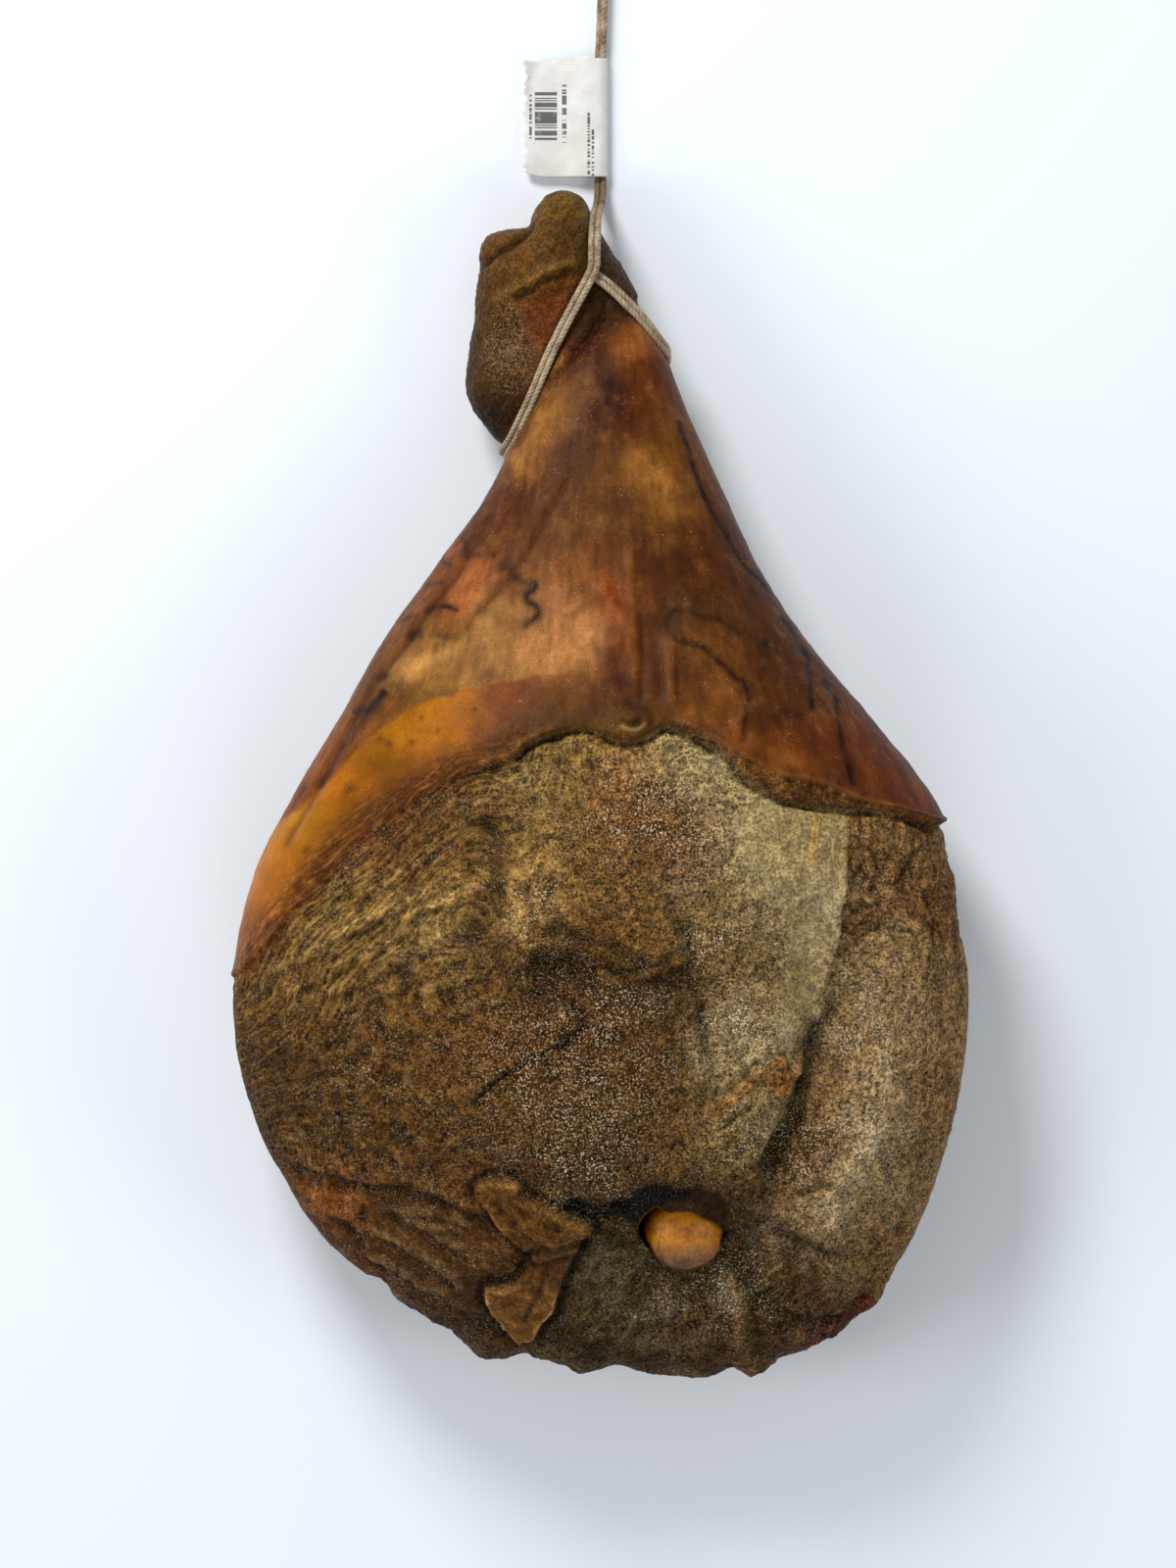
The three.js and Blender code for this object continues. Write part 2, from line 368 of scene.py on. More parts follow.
pair = beside(string_line, string_out, turn=0.9)
string = strand_mesh("hanging_string_twine", [(q, STRAND, False) for q in pair], browned=grimy)

# The noose: up from behind the crossing, down the right leg, round the shank and up the left leg.
NOOSE_ROUTE = [
    (-6, 238, 50.5), (-1, 234.5, 51.8), (6, 229, 52), (17, 218, 51), (27, 206, 44), (31.5, 200, 32),
    (25, 190, 17), (6, 181, 9.5), (-14, 170, 9.5), (-34, 158, 14), (-45, 153.5, 30), (-40, 162, 47),
    (-31, 181, 54), (-23, 200, 55.5), (-14, 218, 56.8), (-7, 231, 56.6), (-3.8, 237.5, 55.5),
    (-3, 241.5, 53.8),
]
noose_line = catmull(np.array(NOOSE_ROUTE) * MM, step=0.0022)
noose_heart = np.array([-4.0, 196.0, 32.0]) * MM
noose_out = noose_line - noose_heart
noose_out /= np.linalg.norm(noose_out, axis=1)[:, None]
noose_out[:, 2] += 0.9 * ramp(noose_line[:, 2], 0.028, 0.044)
pair = beside(noose_line, noose_out)


def dark_under(p):
    """Brown under the shank, and a little at the crossing."""
    return float(ramp(p[2], 0.034, 0.012)) * 0.5 + float(ramp(p[1], 0.232, 0.24)) * 0.25


noose = strand_mesh("noose_twine", [(q, STRAND, False) for q in pair], browned=dark_under)

# The end knot and the eye past it, which goes over a hook.
lo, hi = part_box("end_knot")
knot_centre, knot_half = np.array((lo + hi) / 2), np.array((hi - lo) / 2)
t = np.linspace(0, 2 * math.pi, 72, endpoint=False)
trefoil = np.stack([np.sin(t) + 2 * np.sin(2 * t), np.cos(t) - 2 * np.cos(2 * t), -np.sin(3 * t)], 1)
trefoil *= (knot_half - 0.0017) / np.abs(trefoil).max(0)
knot = strand_mesh("end_knot_twine", [(trefoil + knot_centre, 1.7 * MM, True)])
eye_half, eye_long, eye_start = 8 * MM, 34 * MM, knot_centre[1] + knot_half[1] + 0.4 * MM
EYE = [
    (-0.3, 0), (-0.75, 0.25), (-1, 0.55), (-0.7, 0.88), (0, 1), (0.7, 0.88), (1, 0.55), (0.75, 0.25),
    (0.3, 0),
]
eye_line = catmull([(knot_centre[0] + a * eye_half, eye_start + b * eye_long, 1.75 * MM) for a, b in EYE])
eye = strand_mesh("hanging_eye_twine", [(eye_line, 1.4 * MM, False)])

# ---- the ham's skin ----------------------------------------------------------------------------
FINE = 1.9 * MM  # quads before the seen side is divided once more


def ham_mesh():
    """The CAD ham as an even mesh, twice as fine on the side that is looked at."""
    source = bpy.data.objects.new("ham_source", NODES["ham"].data.copy())
    SCENE.collection.objects.link(source)
    remesh = source.modifiers.new("remesh", "REMESH")
    remesh.mode, remesh.voxel_size = "VOXEL", FINE
    smooth = source.modifiers.new("smooth", "SMOOTH")
    smooth.factor, smooth.iterations = 0.5, 8
    dg = bpy.context.evaluated_depsgraph_get()
    even = bpy.data.meshes.new_from_object(source.evaluated_get(dg))
    bpy.data.objects.remove(source)
    bm = bmesh.new()
    bm.from_mesh(even)
    bm.normal_update()
    top = [f for f in bm.faces if f.normal.z > -0.3 and f.calc_center_median().z > 0.012]
    edges = list({e for f in top for e in f.edges})
    bmesh.ops.subdivide_edges(bm, edges=edges, cuts=1, use_grid_fill=True)
    inner = [v for v in bm.verts if v.co.z > 0.01]
    for _ in range(3):
        bmesh.ops.smooth_vert(bm, verts=inner, factor=0.5, use_axis_x=True, use_axis_y=True, use_axis_z=True)
    bm.to_mesh(even)
    bm.free()
    even.name = "ham_skin"
    return even


skin = ham_mesh()
count = len(skin.vertices)
rest = np.zeros(count * 3, np.float32)
skin.vertices.foreach_get("co", rest)
rest = rest.reshape(-1, 3).astype(float) / MM
normal = np.zeros(count * 3, np.float32)
skin.vertex_normals.foreach_get("vector", normal)
normal = normal.reshape(-1, 3).astype(float)

# Small corners and hollows of the outline: x, y, reach, and the push in x and y.
PUSHES = [
    (-53, 254, 8, -2.5, 3.2), (-35, 262, 7, 1.5, -2.6), (-16, 272, 12, 0.0, 2.0),
    (-60, 236, 8, 2.5, 0.0),
    (-106, -238, 9, 3.5, 3.0), (-96, -243, 7, -2.0, -2.5), (-66, -251, 8, 1.5, 4.0),
    (-52, -266, 9, -2.0, -3.0),
    (-34, -267, 9, 0.0, 3.0), (-9, -273, 8, 0.0, -2.0), (8, -274, 8, 0.0, 2.5), (46, -276, 8, 0.0, -1.0),
    (60, -272, 6, 0.0, 3.0), (74, -271, 6, 1.0, -3.0), (88, -266, 7, 0.0, 2.5),
    (126, -238, 8, 2.0, -1.5),
    (162, -15, 8, -0.6, 0.0), (163, -30, 9, -2.0, 0.0), (167, -66, 10, -2.0, 0.0),
]
for x, y, reach, dx, dy in PUSHES:
    near_it = np.exp(-((rest[:, 0] - x) ** 2 + (rest[:, 1] - y) ** 2) / reach**2)
    rest[:, 0] += dx * near_it
    rest[:, 1] += dy * near_it

# The socket closes round the ball: its walls come in to it, and the meat over it comes down a little.
BALL_MM = np.array([38.0, -204.0, 95.0])
SOCKET = np.array([31.0, 25.0])
from_ball = rest[:, :2] - BALL_MM[:2]
socket_out = np.linalg.norm(from_ball / SOCKET, axis=1)
drawn_in = ramp(socket_out, 1.75, 0.95) * ramp(rest[:, 2], 60, 80)
below = ramp(from_ball[:, 1], 8, -12)
to_right = ramp(from_ball[:, 0], 0, 14)
rest[:, :2] -= from_ball * ((0.29 + 0.09 * below + 0.10 * to_right) * drawn_in)[:, None]
over_top = ramp(from_ball[:, 1], -2, 10) * ramp(from_ball[:, 0], -20, -8)
rest[:, 1] -= 6.0 * ramp(socket_out, 1.6, 0.95) * over_top * ramp(rest[:, 2], 84, 98)

# Where each vertex is seen from above, at the height of the outline, and how much it faces up.
centre = np.array(VIEW_FROM[:2])
seen = centre + (rest[:, :2] - centre) * ((VIEW_FROM[2] - OUTLINE_Z) / (VIEW_FROM[2] - rest[:, 2:3]))
facing = ramp(normal[:, 2], -0.25, 0.1) * ramp(rest[:, 2], 8, 22)
wobble = np.stack([fbm(rest, 14, 3, 11), fbm(rest, 14, 3, 23)], 1)
ragged = seen + wobble * 1.3  # for edges that are never quite smooth
near = seen + wobble * 0.45


class Line:
    """A given line: how far each vertex is from it, how far along, and on which side."""

    def __init__(self, points, margin, taper=0.0, on=None):
        at = seen if on is None else on
        p = catmull(points, step=2.0) if len(points) > 2 else np.array(points, float)
        box = (at > p.min(0) - margin).all(1) & (at < p.max(0) + margin).all(1) & (facing > 0)
        self.who = np.flatnonzero(box)
        q = at[self.who]
        best = np.full(len(q), 1e9)
        self.along, self.side = np.zeros(len(q)), np.zeros(len(q))
        lengths = np.linalg.norm(np.diff(p, axis=0), axis=1)
        starts = np.concatenate([[0.0], np.cumsum(lengths)])
        for k in range(len(p) - 1):
            d = p[k + 1] - p[k]
            t = np.clip(((q - p[k]) @ d) / max(d @ d, 1e-9), 0.0, 1.0)
            gap = q - p[k] - t[:, None] * d
            far = np.linalg.norm(gap, axis=1)
            closer = far < best
            best[closer] = far[closer]
            self.along[closer] = (starts[k] + t * lengths[k])[closer]
            self.side[closer] = np.sign(d[0] * gap[:, 1] - d[1] * gap[:, 0])[closer]
        self.far = best
        ends = np.minimum(self.along, starts[-1] - self.along)
        self.fade = ramp(ends, -0.01, taper) if taper else np.ones(len(q))
        self.fade = self.fade * facing[self.who]
        self.signed = self.side * self.far

    def swell(self, width):
        return np.exp(-((self.far / width) ** 2)) * self.fade

    def beside(self, offset, width):
        """A soft band that runs offset to the line's left, or to its right where negative."""
        return np.exp(-(((self.signed - offset) / width) ** 2)) * self.fade


class Area:
    """A given outline: how far inside it each vertex is, negative outside."""

    def __init__(self, outline, margin, on=None):
        at = ragged if on is None else on
        p = catmull(np.array(outline, float), closed=True, step=3.0)
        box = (at > p.min(0) - margin).all(1) & (at < p.max(0) + margin).all(1) & (facing > 0)
        self.who = np.flatnonzero(box)
        q = at[self.who]
        best, inside = np.full(len(q), 1e9), np.zeros(len(q), bool)
        for a, b in zip(p, np.roll(p, -1, axis=0)):
            d = b - a
            t = np.clip(((q - a) @ d) / max(d @ d, 1e-9), 0.0, 1.0)
            best = np.minimum(best, np.linalg.norm(q - a - t[:, None] * d, axis=1))
            crosses = (a[1] > q[:, 1]) != (b[1] > q[:, 1])
            x = a[0] + (q[:, 1] - a[1]) / (b[1] - a[1] if b[1] != a[1] else 1e-9) * d[0]
            inside ^= crosses & (q[:, 0] < x)
        self.inner = np.where(inside, best, -best)

    def within(self, low, high):
        """0 up to low inside the outline and 1 from high, smooth between."""
        return ramp(self.inner, low, high) * facing[self.who]

    def rim(self, offset, width):
        """A soft band that runs offset inside the outline, or outside it where negative."""
        return np.exp(-(((self.inner - offset) / width) ** 2)) * facing[self.who]

    def fill(self, soft):
        return self.within(-soft, soft)


# ---- the landmarks, as seen from above, in millimetres -------------------------------------------
TRIM = [  # where the rind and its fat end at the trimmed meat, left to right
    (-176, -94), (-165, -86), (-156, -77), (-145, -63), (-132, -48), (-119, -33), (-105, -21),
    (-92, -12),
    (-83, -6), (-72, 0), (-61, 5), (-48, 9), (-39, 13), (-33, 18), (-23, 22), (-12, 25), (-4, 24),
    (7, 20), (15, 18.5), (23, 22), (29, 26), (34, 25), (48, 18), (61, 10), (69, 1), (77, -5),
    (90, -9), (104, -11), (113, -13), (130, -13), (143, -16), (155, -19), (163, -17),
]
RIND_EDGE = [
    (34, 28), (45, 24), (55, 18), (67, 11), (80, 4), (94, 1), (107, -3), (121, -9), (132, -12),
    (146, -16),
]
FAT = [
    (-4, 50), (-24, 50), (-42, 48), (-60, 43), (-78, 38), (-94, 31), (-107, 21), (-121, 6),
    (-138, -10), (-158, -26), (-174, -48), (-184, -70), (-190, -98), (-165, -86), (-156, -77),
    (-145, -63), (-132, -48), (-119, -33), (-105, -21), (-87, -10), (-69, 1), (-51, 13), (-33, 22),
    (-17, 29), (-5, 39),
]
FASCIA = [
    (115, -14), (114, -28), (114, -44), (112, -57), (110, -71), (107, -84), (104, -96), (101, -107),
    (90, -119), (82, -114), (81, -96), (85, -75), (82, -57), (73, -44), (63, -32), (62, -19),
    (69, -10), (80, -9), (96, -11),
]
FASCIA_EDGE = [
    (115, -15), (114.5, -28), (114, -44), (112, -57), (110, -71), (107, -82), (104, -95), (102, -107),
    (99, -118),
]
GROOVE_RIGHT = [
    (102, -107), (99, -118), (97, -130), (96, -136), (93, -143), (90, -150), (85, -160), (82, -166),
    (80, -172), (78, -178), (81, -184),
]
GROOVE_MIDDLE = [
    (-56, -12), (-51, -23), (-49, -32), (-48, -41), (-48, -48), (-52, -57), (-57, -65), (-60, -74),
    (-63, -80),
]
HOLLOW = [
    (-35, -80), (-29, -85), (-23, -87), (-15, -86), (-8, -88), (1, -91), (12, -93), (25, -90),
    (35, -87), (39, -82),
]
FOLD_DOWN = [
    (34, -62), (38, -70), (42, -79), (42, -86), (45, -93), (47, -101), (48, -111), (49, -121),
    (53, -132),
]
FOLD_CURLED = [(-38, -97), (-28, -98), (-19, -101), (-11, -106), (-8, -112), (-12, -118), (-22, -122)]
RIDGE_MIDDLE = [(-39, -37), (-39, -48), (-39, -59), (-36, -71), (-31, -77)]
LIP_FOLD = [(-4, -87), (9, -92), (21, -89), (31, -86), (38, -80)]
KNUCKLE_EDGE = [(-22, -24), (-20, -40), (-16, -54), (-8, -66), (2, -76), (14, -80), (26, -78), (32, -66)]
SMALL_TONGUE = [(-19, -99), (-18, -106), (-19, -112)]
CREASE_LEFT = [(-108, -193), (-110, -196), (-111, -200), (-107, -203)]
CREASE_LOW = [(-129, -201), (-121, -203), (-115, -208), (-111, -213), (-107, -219)]
BUTT_RAYS = [
    [(17, -216), (12, -227), (5, -241)],
    [(35, -223), (34, -236), (30, -250)],
    [(55, -218), (58, -232), (60, -247)],
    [(2, -211), (-5, -223), (-10, -236)],
    [(80, -216), (85, -227), (87, -236)],
    [(92, -218), (95, -229), (97, -238)],
]
PALE_RIDGE = [
    (130, -114), (128.5, -133), (127, -151), (122.5, -169), (115, -179), (110.5, -189), (107.5, -201),
    (112, -212),
]
BROWN_FOLDS = [
    [(86, -189), (95, -186), (105, -182), (111, -179)],
    [(92, -182), (101, -181), (107, -183)],
    [(98, -146), (97, -152), (95, -160)],
    [(49, -162), (57, -155), (63, -150), (70, -145)],
]
FOLD_UPPER = [(-28, -66), (-18, -70), (-8, -72), (4, -74), (14, -80), (24, -83)]
RIND_CURL = [(-2, 28), (4, 21.5), (10, 19.5), (16, 18.8), (21, 21.5), (24, 27), (22, 33), (14, 35), (5, 33)]
CURL_RIM = [(8, 26), (11, 24), (15, 22.8), (19, 24.5), (21, 27)]
CURL_SHADE = [(9, 29), (13, 26.6), (17, 27), (19, 29.5)]
CRACK = [
    (-61, -152), (-59, -149), (-56, -145), (-52, -142), (-48, -138), (-44, -135), (-39, -132),
    (-33, -128), (-28, -126), (-24, -124), (-17, -121), (-10, -118),
]
CRACK_FORK = [(-24, -124), (-24, -130), (-23, -136), (-23, -142)]
CRACK_FAINT = [(-61, -152), (-66, -157), (-71, -163), (-74, -170), (-75, -177), (-74, -184)]
CAPSULE = [  # the swell of the joint capsule above the ball
    (49, -162), (58, -154), (67, -145), (78, -141), (86, -145), (87, -152), (82, -161), (78, -172),
    (75, -182), (64, -184), (55, -177), (49, -170),
]
TENDON = [(48, -155), (54, -150), (61, -146), (67, -141), (72, -135), (77, -131)]
TENDON_CAP = [
    (73, -136), (78, -130), (85, -126), (87, -132), (90, -127), (95, -122), (96, -130), (92, -136),
    (87, -144), (83, -146), (78, -142),
]
PIT = [
    (9, -197), (14, -190), (21, -185), (30, -186.5), (40, -187), (50, -187.5), (57, -191), (60, -198),
    (60, -206), (56, -212), (48, -216.5), (38, -218), (27, -216), (19, -211), (13, -204),
]
PIT_SHADOW = [
    (4, -198), (10, -192), (17, -187), (26, -185), (36, -187), (44, -190), (38, -194), (28, -195),
    (22, -199), (18, -205), (12, -203),
]
CHANNEL = [(-18, -194), (-10, -197), (-2, -200), (6, -197), (14, -195)]
OVERHANG = [(-19, -191), (-6, -194), (5, -191), (15, -186), (22, -183), (29, -179), (35, -172)]
RIM_FLAP = [(31, -183), (36, -178), (45, -177), (52, -180), (58, -187), (52, -190), (39, -189), (31, -188)]
FLAP_TONGUE = [
    (-58, -187), (-55, -184), (-50, -182), (-43, -182), (-38, -184), (-37, -187), (-39, -189),
    (-31, -193), (-23, -196), (-15, -200), (-7, -203), (-4, -206), (-8, -209), (-10, -213),
    (-17, -216), (-24, -218), (-31, -218), (-37, -213), (-42, -208), (-48, -201), (-53, -194),
]
FLAP_LOBE = [
    (-31, -217), (-24, -217), (-17, -216), (-11, -213), (-13, -220), (-17, -227), (-20, -234),
    (-22, -243), (-26, -248), (-29, -251), (-30, -255), (-35, -257), (-40, -255), (-45, -251),
    (-50, -244), (-53, -237), (-53, -233), (-47, -233), (-40, -231), (-35, -226),
]
FLAP_FOLDS = [
    [(-52, -190), (-45, -196), (-38, -203), (-31, -210), (-22, -214)],
    [(-44, -188), (-35, -196), (-25, -202), (-14, -206)],
    [(-24, -220), (-27, -230), (-32, -240), (-36, -249)],
]
STEP_LEFT = [
    (-152, -168), (-140, -176), (-126, -180), (-115, -183), (-105, -185), (-92, -186), (-82, -188),
    (-72, -192), (-64, -196), (-53, -201), (-44, -207), (-38, -213),
]
ORANGE_EDGE = [
    (-147, -178), (-139, -184), (-131, -187), (-122, -188), (-112, -191), (-108, -194), (-112, -200),
    (-121, -202), (-131, -200), (-138, -194), (-143, -187),
]
BUTT = [
    (-6, -208), (12, -210), (30, -223), (48, -223), (60, -210), (67, -223), (69, -241), (70, -262),
    (48, -268), (21, -267), (-6, -262), (-20, -256), (-24, -250), (-17, -232), (-10, -218),
]
TAIL = [
    (60, -225), (63, -227), (67, -238), (68, -250), (69, -261), (74, -271), (70, -274), (64, -270),
    (60, -268), (62, -250),
]
LOWER_RIGHT = [(60, -199), (69, -199), (77, -203), (86, -210), (94, -213), (107, -218), (119, -219)]
CREASE_RIGHT = [
    (58, -218), (62, -224), (67, -232), (74, -238), (85, -245), (95, -249), (107, -249), (117, -244),
]
RED_EDGE = [
    (96, -253), (107, -247), (116, -243), (123, -237), (128, -243), (120, -251), (111, -258),
    (100, -263), (94, -262),
]
BROWN_CORNER = [
    (116, -15), (132, -14), (155, -19), (165, -32), (170, -48), (170, -73), (160, -76), (148, -66),
    (137, -62), (128, -66), (117, -75), (111, -80), (114, -59), (115, -37),
]
HOCK_SLIT = [
    (-59, 234), (-56, 239), (-53, 242), (-49, 245), (-45, 247), (-41, 249), (-37, 253), (-33, 257),
    (-29, 261),
]
HOCK_RIDGE = [(-50, 222), (-44, 226), (-40, 228), (-35, 230), (-29, 234), (-23, 237), (-16, 240), (-9, 241)]
HOCK_GROOVE = [(-42, 222), (-38, 225), (-32, 228), (-27, 232), (-21, 234), (-16, 236), (-9, 236)]
HOCK_HOLLOW = [
    (-33, 223), (-28, 228), (-22, 232), (-14, 235), (-8, 235), (-13, 226), (-17, 218), (-21, 210),
    (-25, 203), (-29, 197), (-33, 203), (-35, 211),
]
HOCK_GRAIN = [
    (-44, 224), (-38, 217), (-35, 206), (-32, 197), (-35, 186), (-40, 181), (-48, 182), (-52, 188),
    (-54, 199), (-52, 210),
]
HOCK_CREASE = [
    (24, 219), (16, 222), (8, 222), (2, 219), (-2, 214), (-5, 209), (-9, 204), (-13, 199), (-17, 194),
    (-22, 190), (-25, 185), (-28, 182), (-31, 177), (-34, 172), (-37, 166), (-40, 160), (-42, 154),
]
HOCK_SHADOW = [
    (-3, 232), (4, 227), (14, 224), (6, 220), (-1, 214), (-8, 206), (-13, 205), (-10, 215), (-6, 224),
]
KNOB = [
    (-27, 266), (-24, 272), (-19, 276), (-12, 274), (-8, 268), (-5, 258), (-13, 261), (-19, 262),
    (-26, 261),
]

LONG_CREASE = [
    (-11, 149), (-16, 137), (-21, 129), (-28, 117), (-34, 105), (-43, 94), (-51, 85), (-60, 75),
    (-63, 68),
]
SKIN_RIDGES = [
    [(13, 112), (13, 99), (14, 75), (15, 61), (15, 44)],
    [(30, 74), (31, 63), (32, 49), (33, 31)],
    [(-3, 99), (0, 90), (6, 80), (11, 71), (12, 61), (11, 49)],
]
SKIN_GROOVES = [
    [(17, 97), (18, 81), (19, 63), (19, 45), (17, 33)],
    [(28, 66), (28, 49), (28, 32)],
    [(35, 64), (35, 49), (35, 29)],
    [(8, 76), (10, 62), (9, 48)],
]
LEFT_EDGE_FOLD = [
    (-50, 126), (-56, 115), (-61, 105), (-68, 94), (-75, 85), (-81, 77), (-87, 68), (-94, 59),
    (-102, 49), (-108, 39), (-114, 29), (-121, 15), (-128, 2), (-137, -14), (-147, -32),
]
VEINS = [  # line, width, strength
    ([(35, 169), (39, 158), (43, 146), (46, 137), (51, 126), (58, 114), (65, 102), (73, 94),
     (80, 85)], 1.1, 0.95),
    ([(82, 79), (91, 66), (95, 59), (96, 54), (96, 49), (97, 39), (98, 31)], 1.3, 0.9),
    ([(102, 49), (106, 43), (109, 36), (110, 27), (111, 19), (114, 8), (116, -3)], 1.2, 0.9),
    ([(32, 68), (31, 75), (34, 80), (40, 80), (47, 77), (54, 76), (59, 73), (66, 67)], 1.3, 0.55),
    ([(29, 71), (35, 66), (44, 64), (49, 62), (53, 58), (59, 52), (63, 48), (66, 47), (67, 44), (68, 39),
      (66, 25), (66, 21), (64, 17)], 1.4, 0.75),
    ([(76, 68), (76, 64), (75, 61)], 1.6, 0.8),
    ([(81, 34), (85, 32), (90, 31), (95, 28)], 1.9, 0.65),
    ([(52, 130), (53, 127)], 1.4, 0.5),
    ([(75, 56), (76, 49)], 1.3, 0.35),
    ([(-48, 104), (-45, 101), (-43, 97)], 3.2, 0.75),
    ([(-42, 95), (-39, 95), (-34, 92), (-30, 92), (-31, 89), (-34, 87), (-34, 84), (-30, 82), (-29, 78),
      (-31, 75), (-34, 73), (-33, 70)], 1.7, 0.85),
    ([(-81, 77), (-78, 81), (-74, 82), (-69, 81), (-65, 78)], 1.3, 0.8),
    ([(-90, 65), (-86, 69), (-81, 70)], 1.9, 0.85),
    ([(-81, 70), (-77, 69), (-72, 68), (-68, 67), (-64, 68)], 1.7, 0.45),
    ([(-104, 46), (-102, 49), (-98, 52)], 1.8, 0.85),
    ([(-114, 30), (-112, 32), (-107, 34), (-103, 39), (-99, 44)], 1.7, 0.9),
    ([(-61, 105), (-58, 105), (-51, 106), (-48, 104)], 1.0, 0.7),
    ([(-76, 106), (-72, 102), (-68, 99)], 1.1, 0.7),
    ([(-66, 115), (-62, 110), (-63, 102)], 1.1, 0.6),
    ([(-83, 91), (-76, 92), (-71, 93)], 1.3, 0.6),
    ([(-94, 74), (-87, 77), (-83, 78)], 1.1, 0.5),
    ([(-99, 44), (-106, 35), (-113, 25), (-119, 15), (-126, 5), (-132, -4)], 1.6, 0.5),
    ([(-78, 104), (-84, 96)], 1.0, 0.5),
    ([(-57, 116), (-66, 104)], 0.9, 0.4),
]
BRUISES = [  # line, half-width, colour, strength
    ([(-1, 200), (2, 184), (7, 170), (12, 164)], 13, (78, 38, 36), 0.85),
    ([(6, 188), (4, 174), (-1, 163)], 8, (70, 32, 36), 0.6),
    ([(-8, 165), (-18, 152), (-28, 142), (-38, 132)], 9, (96, 54, 42), 0.7),
    ([(-40, 128), (-46, 118), (-53, 110)], 8, (104, 60, 48), 0.55),
    ([(12, 130), (16, 113), (24, 100), (34, 92)], 12, (98, 58, 44), 0.6),
    ([(34, 112), (46, 104), (56, 92)], 9, (102, 62, 46), 0.45),
    ([(2, 60), (6, 52), (9, 45)], 4.5, (80, 36, 44), 0.8),
    ([(13, 36), (17, 30)], 5, (66, 34, 28), 0.75),
    ([(31, 82), (33, 74), (32, 68)], 5, (110, 92, 86), 0.6),
    ([(38, 84), (52, 80), (66, 74)], 7, (104, 78, 58), 0.45),
    ([(13, 160), (22, 176), (28, 196)], 8, (120, 62, 30), 0.5),
    ([(18, 150), (26, 138), (30, 128)], 8, (172, 122, 62), 0.5),
    ([(40, 140), (44, 128)], 5, (152, 108, 58), 0.4),
    ([(52, 66), (57, 58), (58, 48), (50, 34)], 9, (150, 100, 48), 0.5),
    ([(60, 22), (80, 12), (100, 6)], 7, (152, 92, 36), 0.5),
    ([(3, 88), (9, 76), (11, 62)], 5, (158, 72, 26), 0.7),
    ([(-32, 60), (-20, 62), (-8, 66)], 10, (186, 134, 88), 0.75),
    ([(-20, 82), (-12, 76), (-6, 70)], 8, (184, 132, 92), 0.6),
    ([(-56, 98), (-62, 88), (-66, 80)], 7, (172, 108, 66), 0.8),
    ([(-70, 62), (-82, 56), (-92, 50)], 6, (178, 138, 84), 0.8),
    ([(-50, 82), (-54, 72), (-52, 62)], 7, (170, 130, 78), 0.6),
    ([(110, 24), (122, 12), (136, 2), (150, -8)], 14, (128, 68, 34), 0.75),
    ([(-30, 100), (-22, 104)], 10, (140, 94, 56), 0.5),
    ([(-20, 196), (-28, 182)], 4, (176, 124, 70), 0.7),
    ([(-24, 172), (-30, 160), (-36, 148)], 8, (172, 124, 68), 0.6),
    ([(10, 200), (20, 206)], 8, (168, 108, 56), 0.6),
]
MUSCLE_LINES = [  # strands that catch the light on the inside round, with a dark line beside each
    [(-159, -93), (-146, -84), (-130, -77), (-115, -68), (-97, -59), (-78, -49), (-70, -43)],
    [(-149, -97), (-133, -91), (-115, -82), (-97, -72), (-86, -62), (-74, -53)],
    [(-140, -101), (-121, -95), (-109, -91), (-97, -84), (-78, -75), (-65, -66)],
    [(-142, -80), (-124, -71), (-106, -62), (-90, -52)],
    [(-128, -106), (-108, -100), (-90, -92), (-72, -84)],
    [(-104, -50), (-92, -42), (-80, -32), (-72, -24)],
    [(-96, -64), (-84, -58), (-70, -54), (-62, -48)],
    [(-92, -100), (-76, -94), (-60, -90), (-46, -86)],
    [(-80, -112), (-64, -105), (-48, -100), (-38, -96)],
    [(-34, -30), (-30, -44), (-29, -58), (-24, -70)],
    [(-24, -28), (-20, -42), (-18, -56), (-10, -70)],
    [(-43, -32), (-43, -46), (-42, -60)],
]
STREAKS_LOWER_LEFT = [
    [(-104, -196), (-92, -200), (-80, -206), (-66, -215), (-56, -222)],
    [(-108, -206), (-96, -210), (-84, -217), (-72, -226), (-62, -236)],
    [(-112, -216), (-100, -221), (-88, -228), (-76, -238)],
    [(-97, -196), (-83, -198), (-69, -201), (-56, -206)],
    [(-83, -205), (-72, -206), (-60, -209)],
    [(-90, -229), (-78, -234), (-66, -237)],
]
LOWER_LEFT = [
    (-152, -176), (-128, -187), (-105, -190), (-82, -193), (-60, -205), (-42, -216), (-54, -236),
    (-60, -254), (-92, -248), (-122, -228), (-146, -200),
]
CORNER_WRINKLES = [
    [(126, -27), (128, -37), (127, -46), (123, -54)],
    [(137, -26), (132, -37), (128, -46)],
    [(150, -27), (144, -34), (139, -44), (132, -49)],
    [(115, -64), (119, -59), (125, -57), (132, -53)],
    [(158, -73), (155, -68), (153, -59), (150, -48)],
    [(116, -75), (121, -71), (126, -68), (137, -68), (148, -71)],
    [(120, -22), (121, -34), (119, -46)],
]

# ---- relief: how far each vertex moves out of the surface, in millimetres --------------------------
lift = np.zeros(count)
tint = np.tile(colour(112, 88, 50), (count, 1))
grain = np.ones(count)  # how coarse and dry: 1 on cut meat, 0 on rind and fat


def raise_(part, amount, mask):
    lift[part.who] += amount * mask


def paint(part, mask, rgb):
    m = np.clip(mask, 0, 1)[:, None]
    tint[part.who] = tint[part.who] * (1 - m) + flesh(*rgb) * m


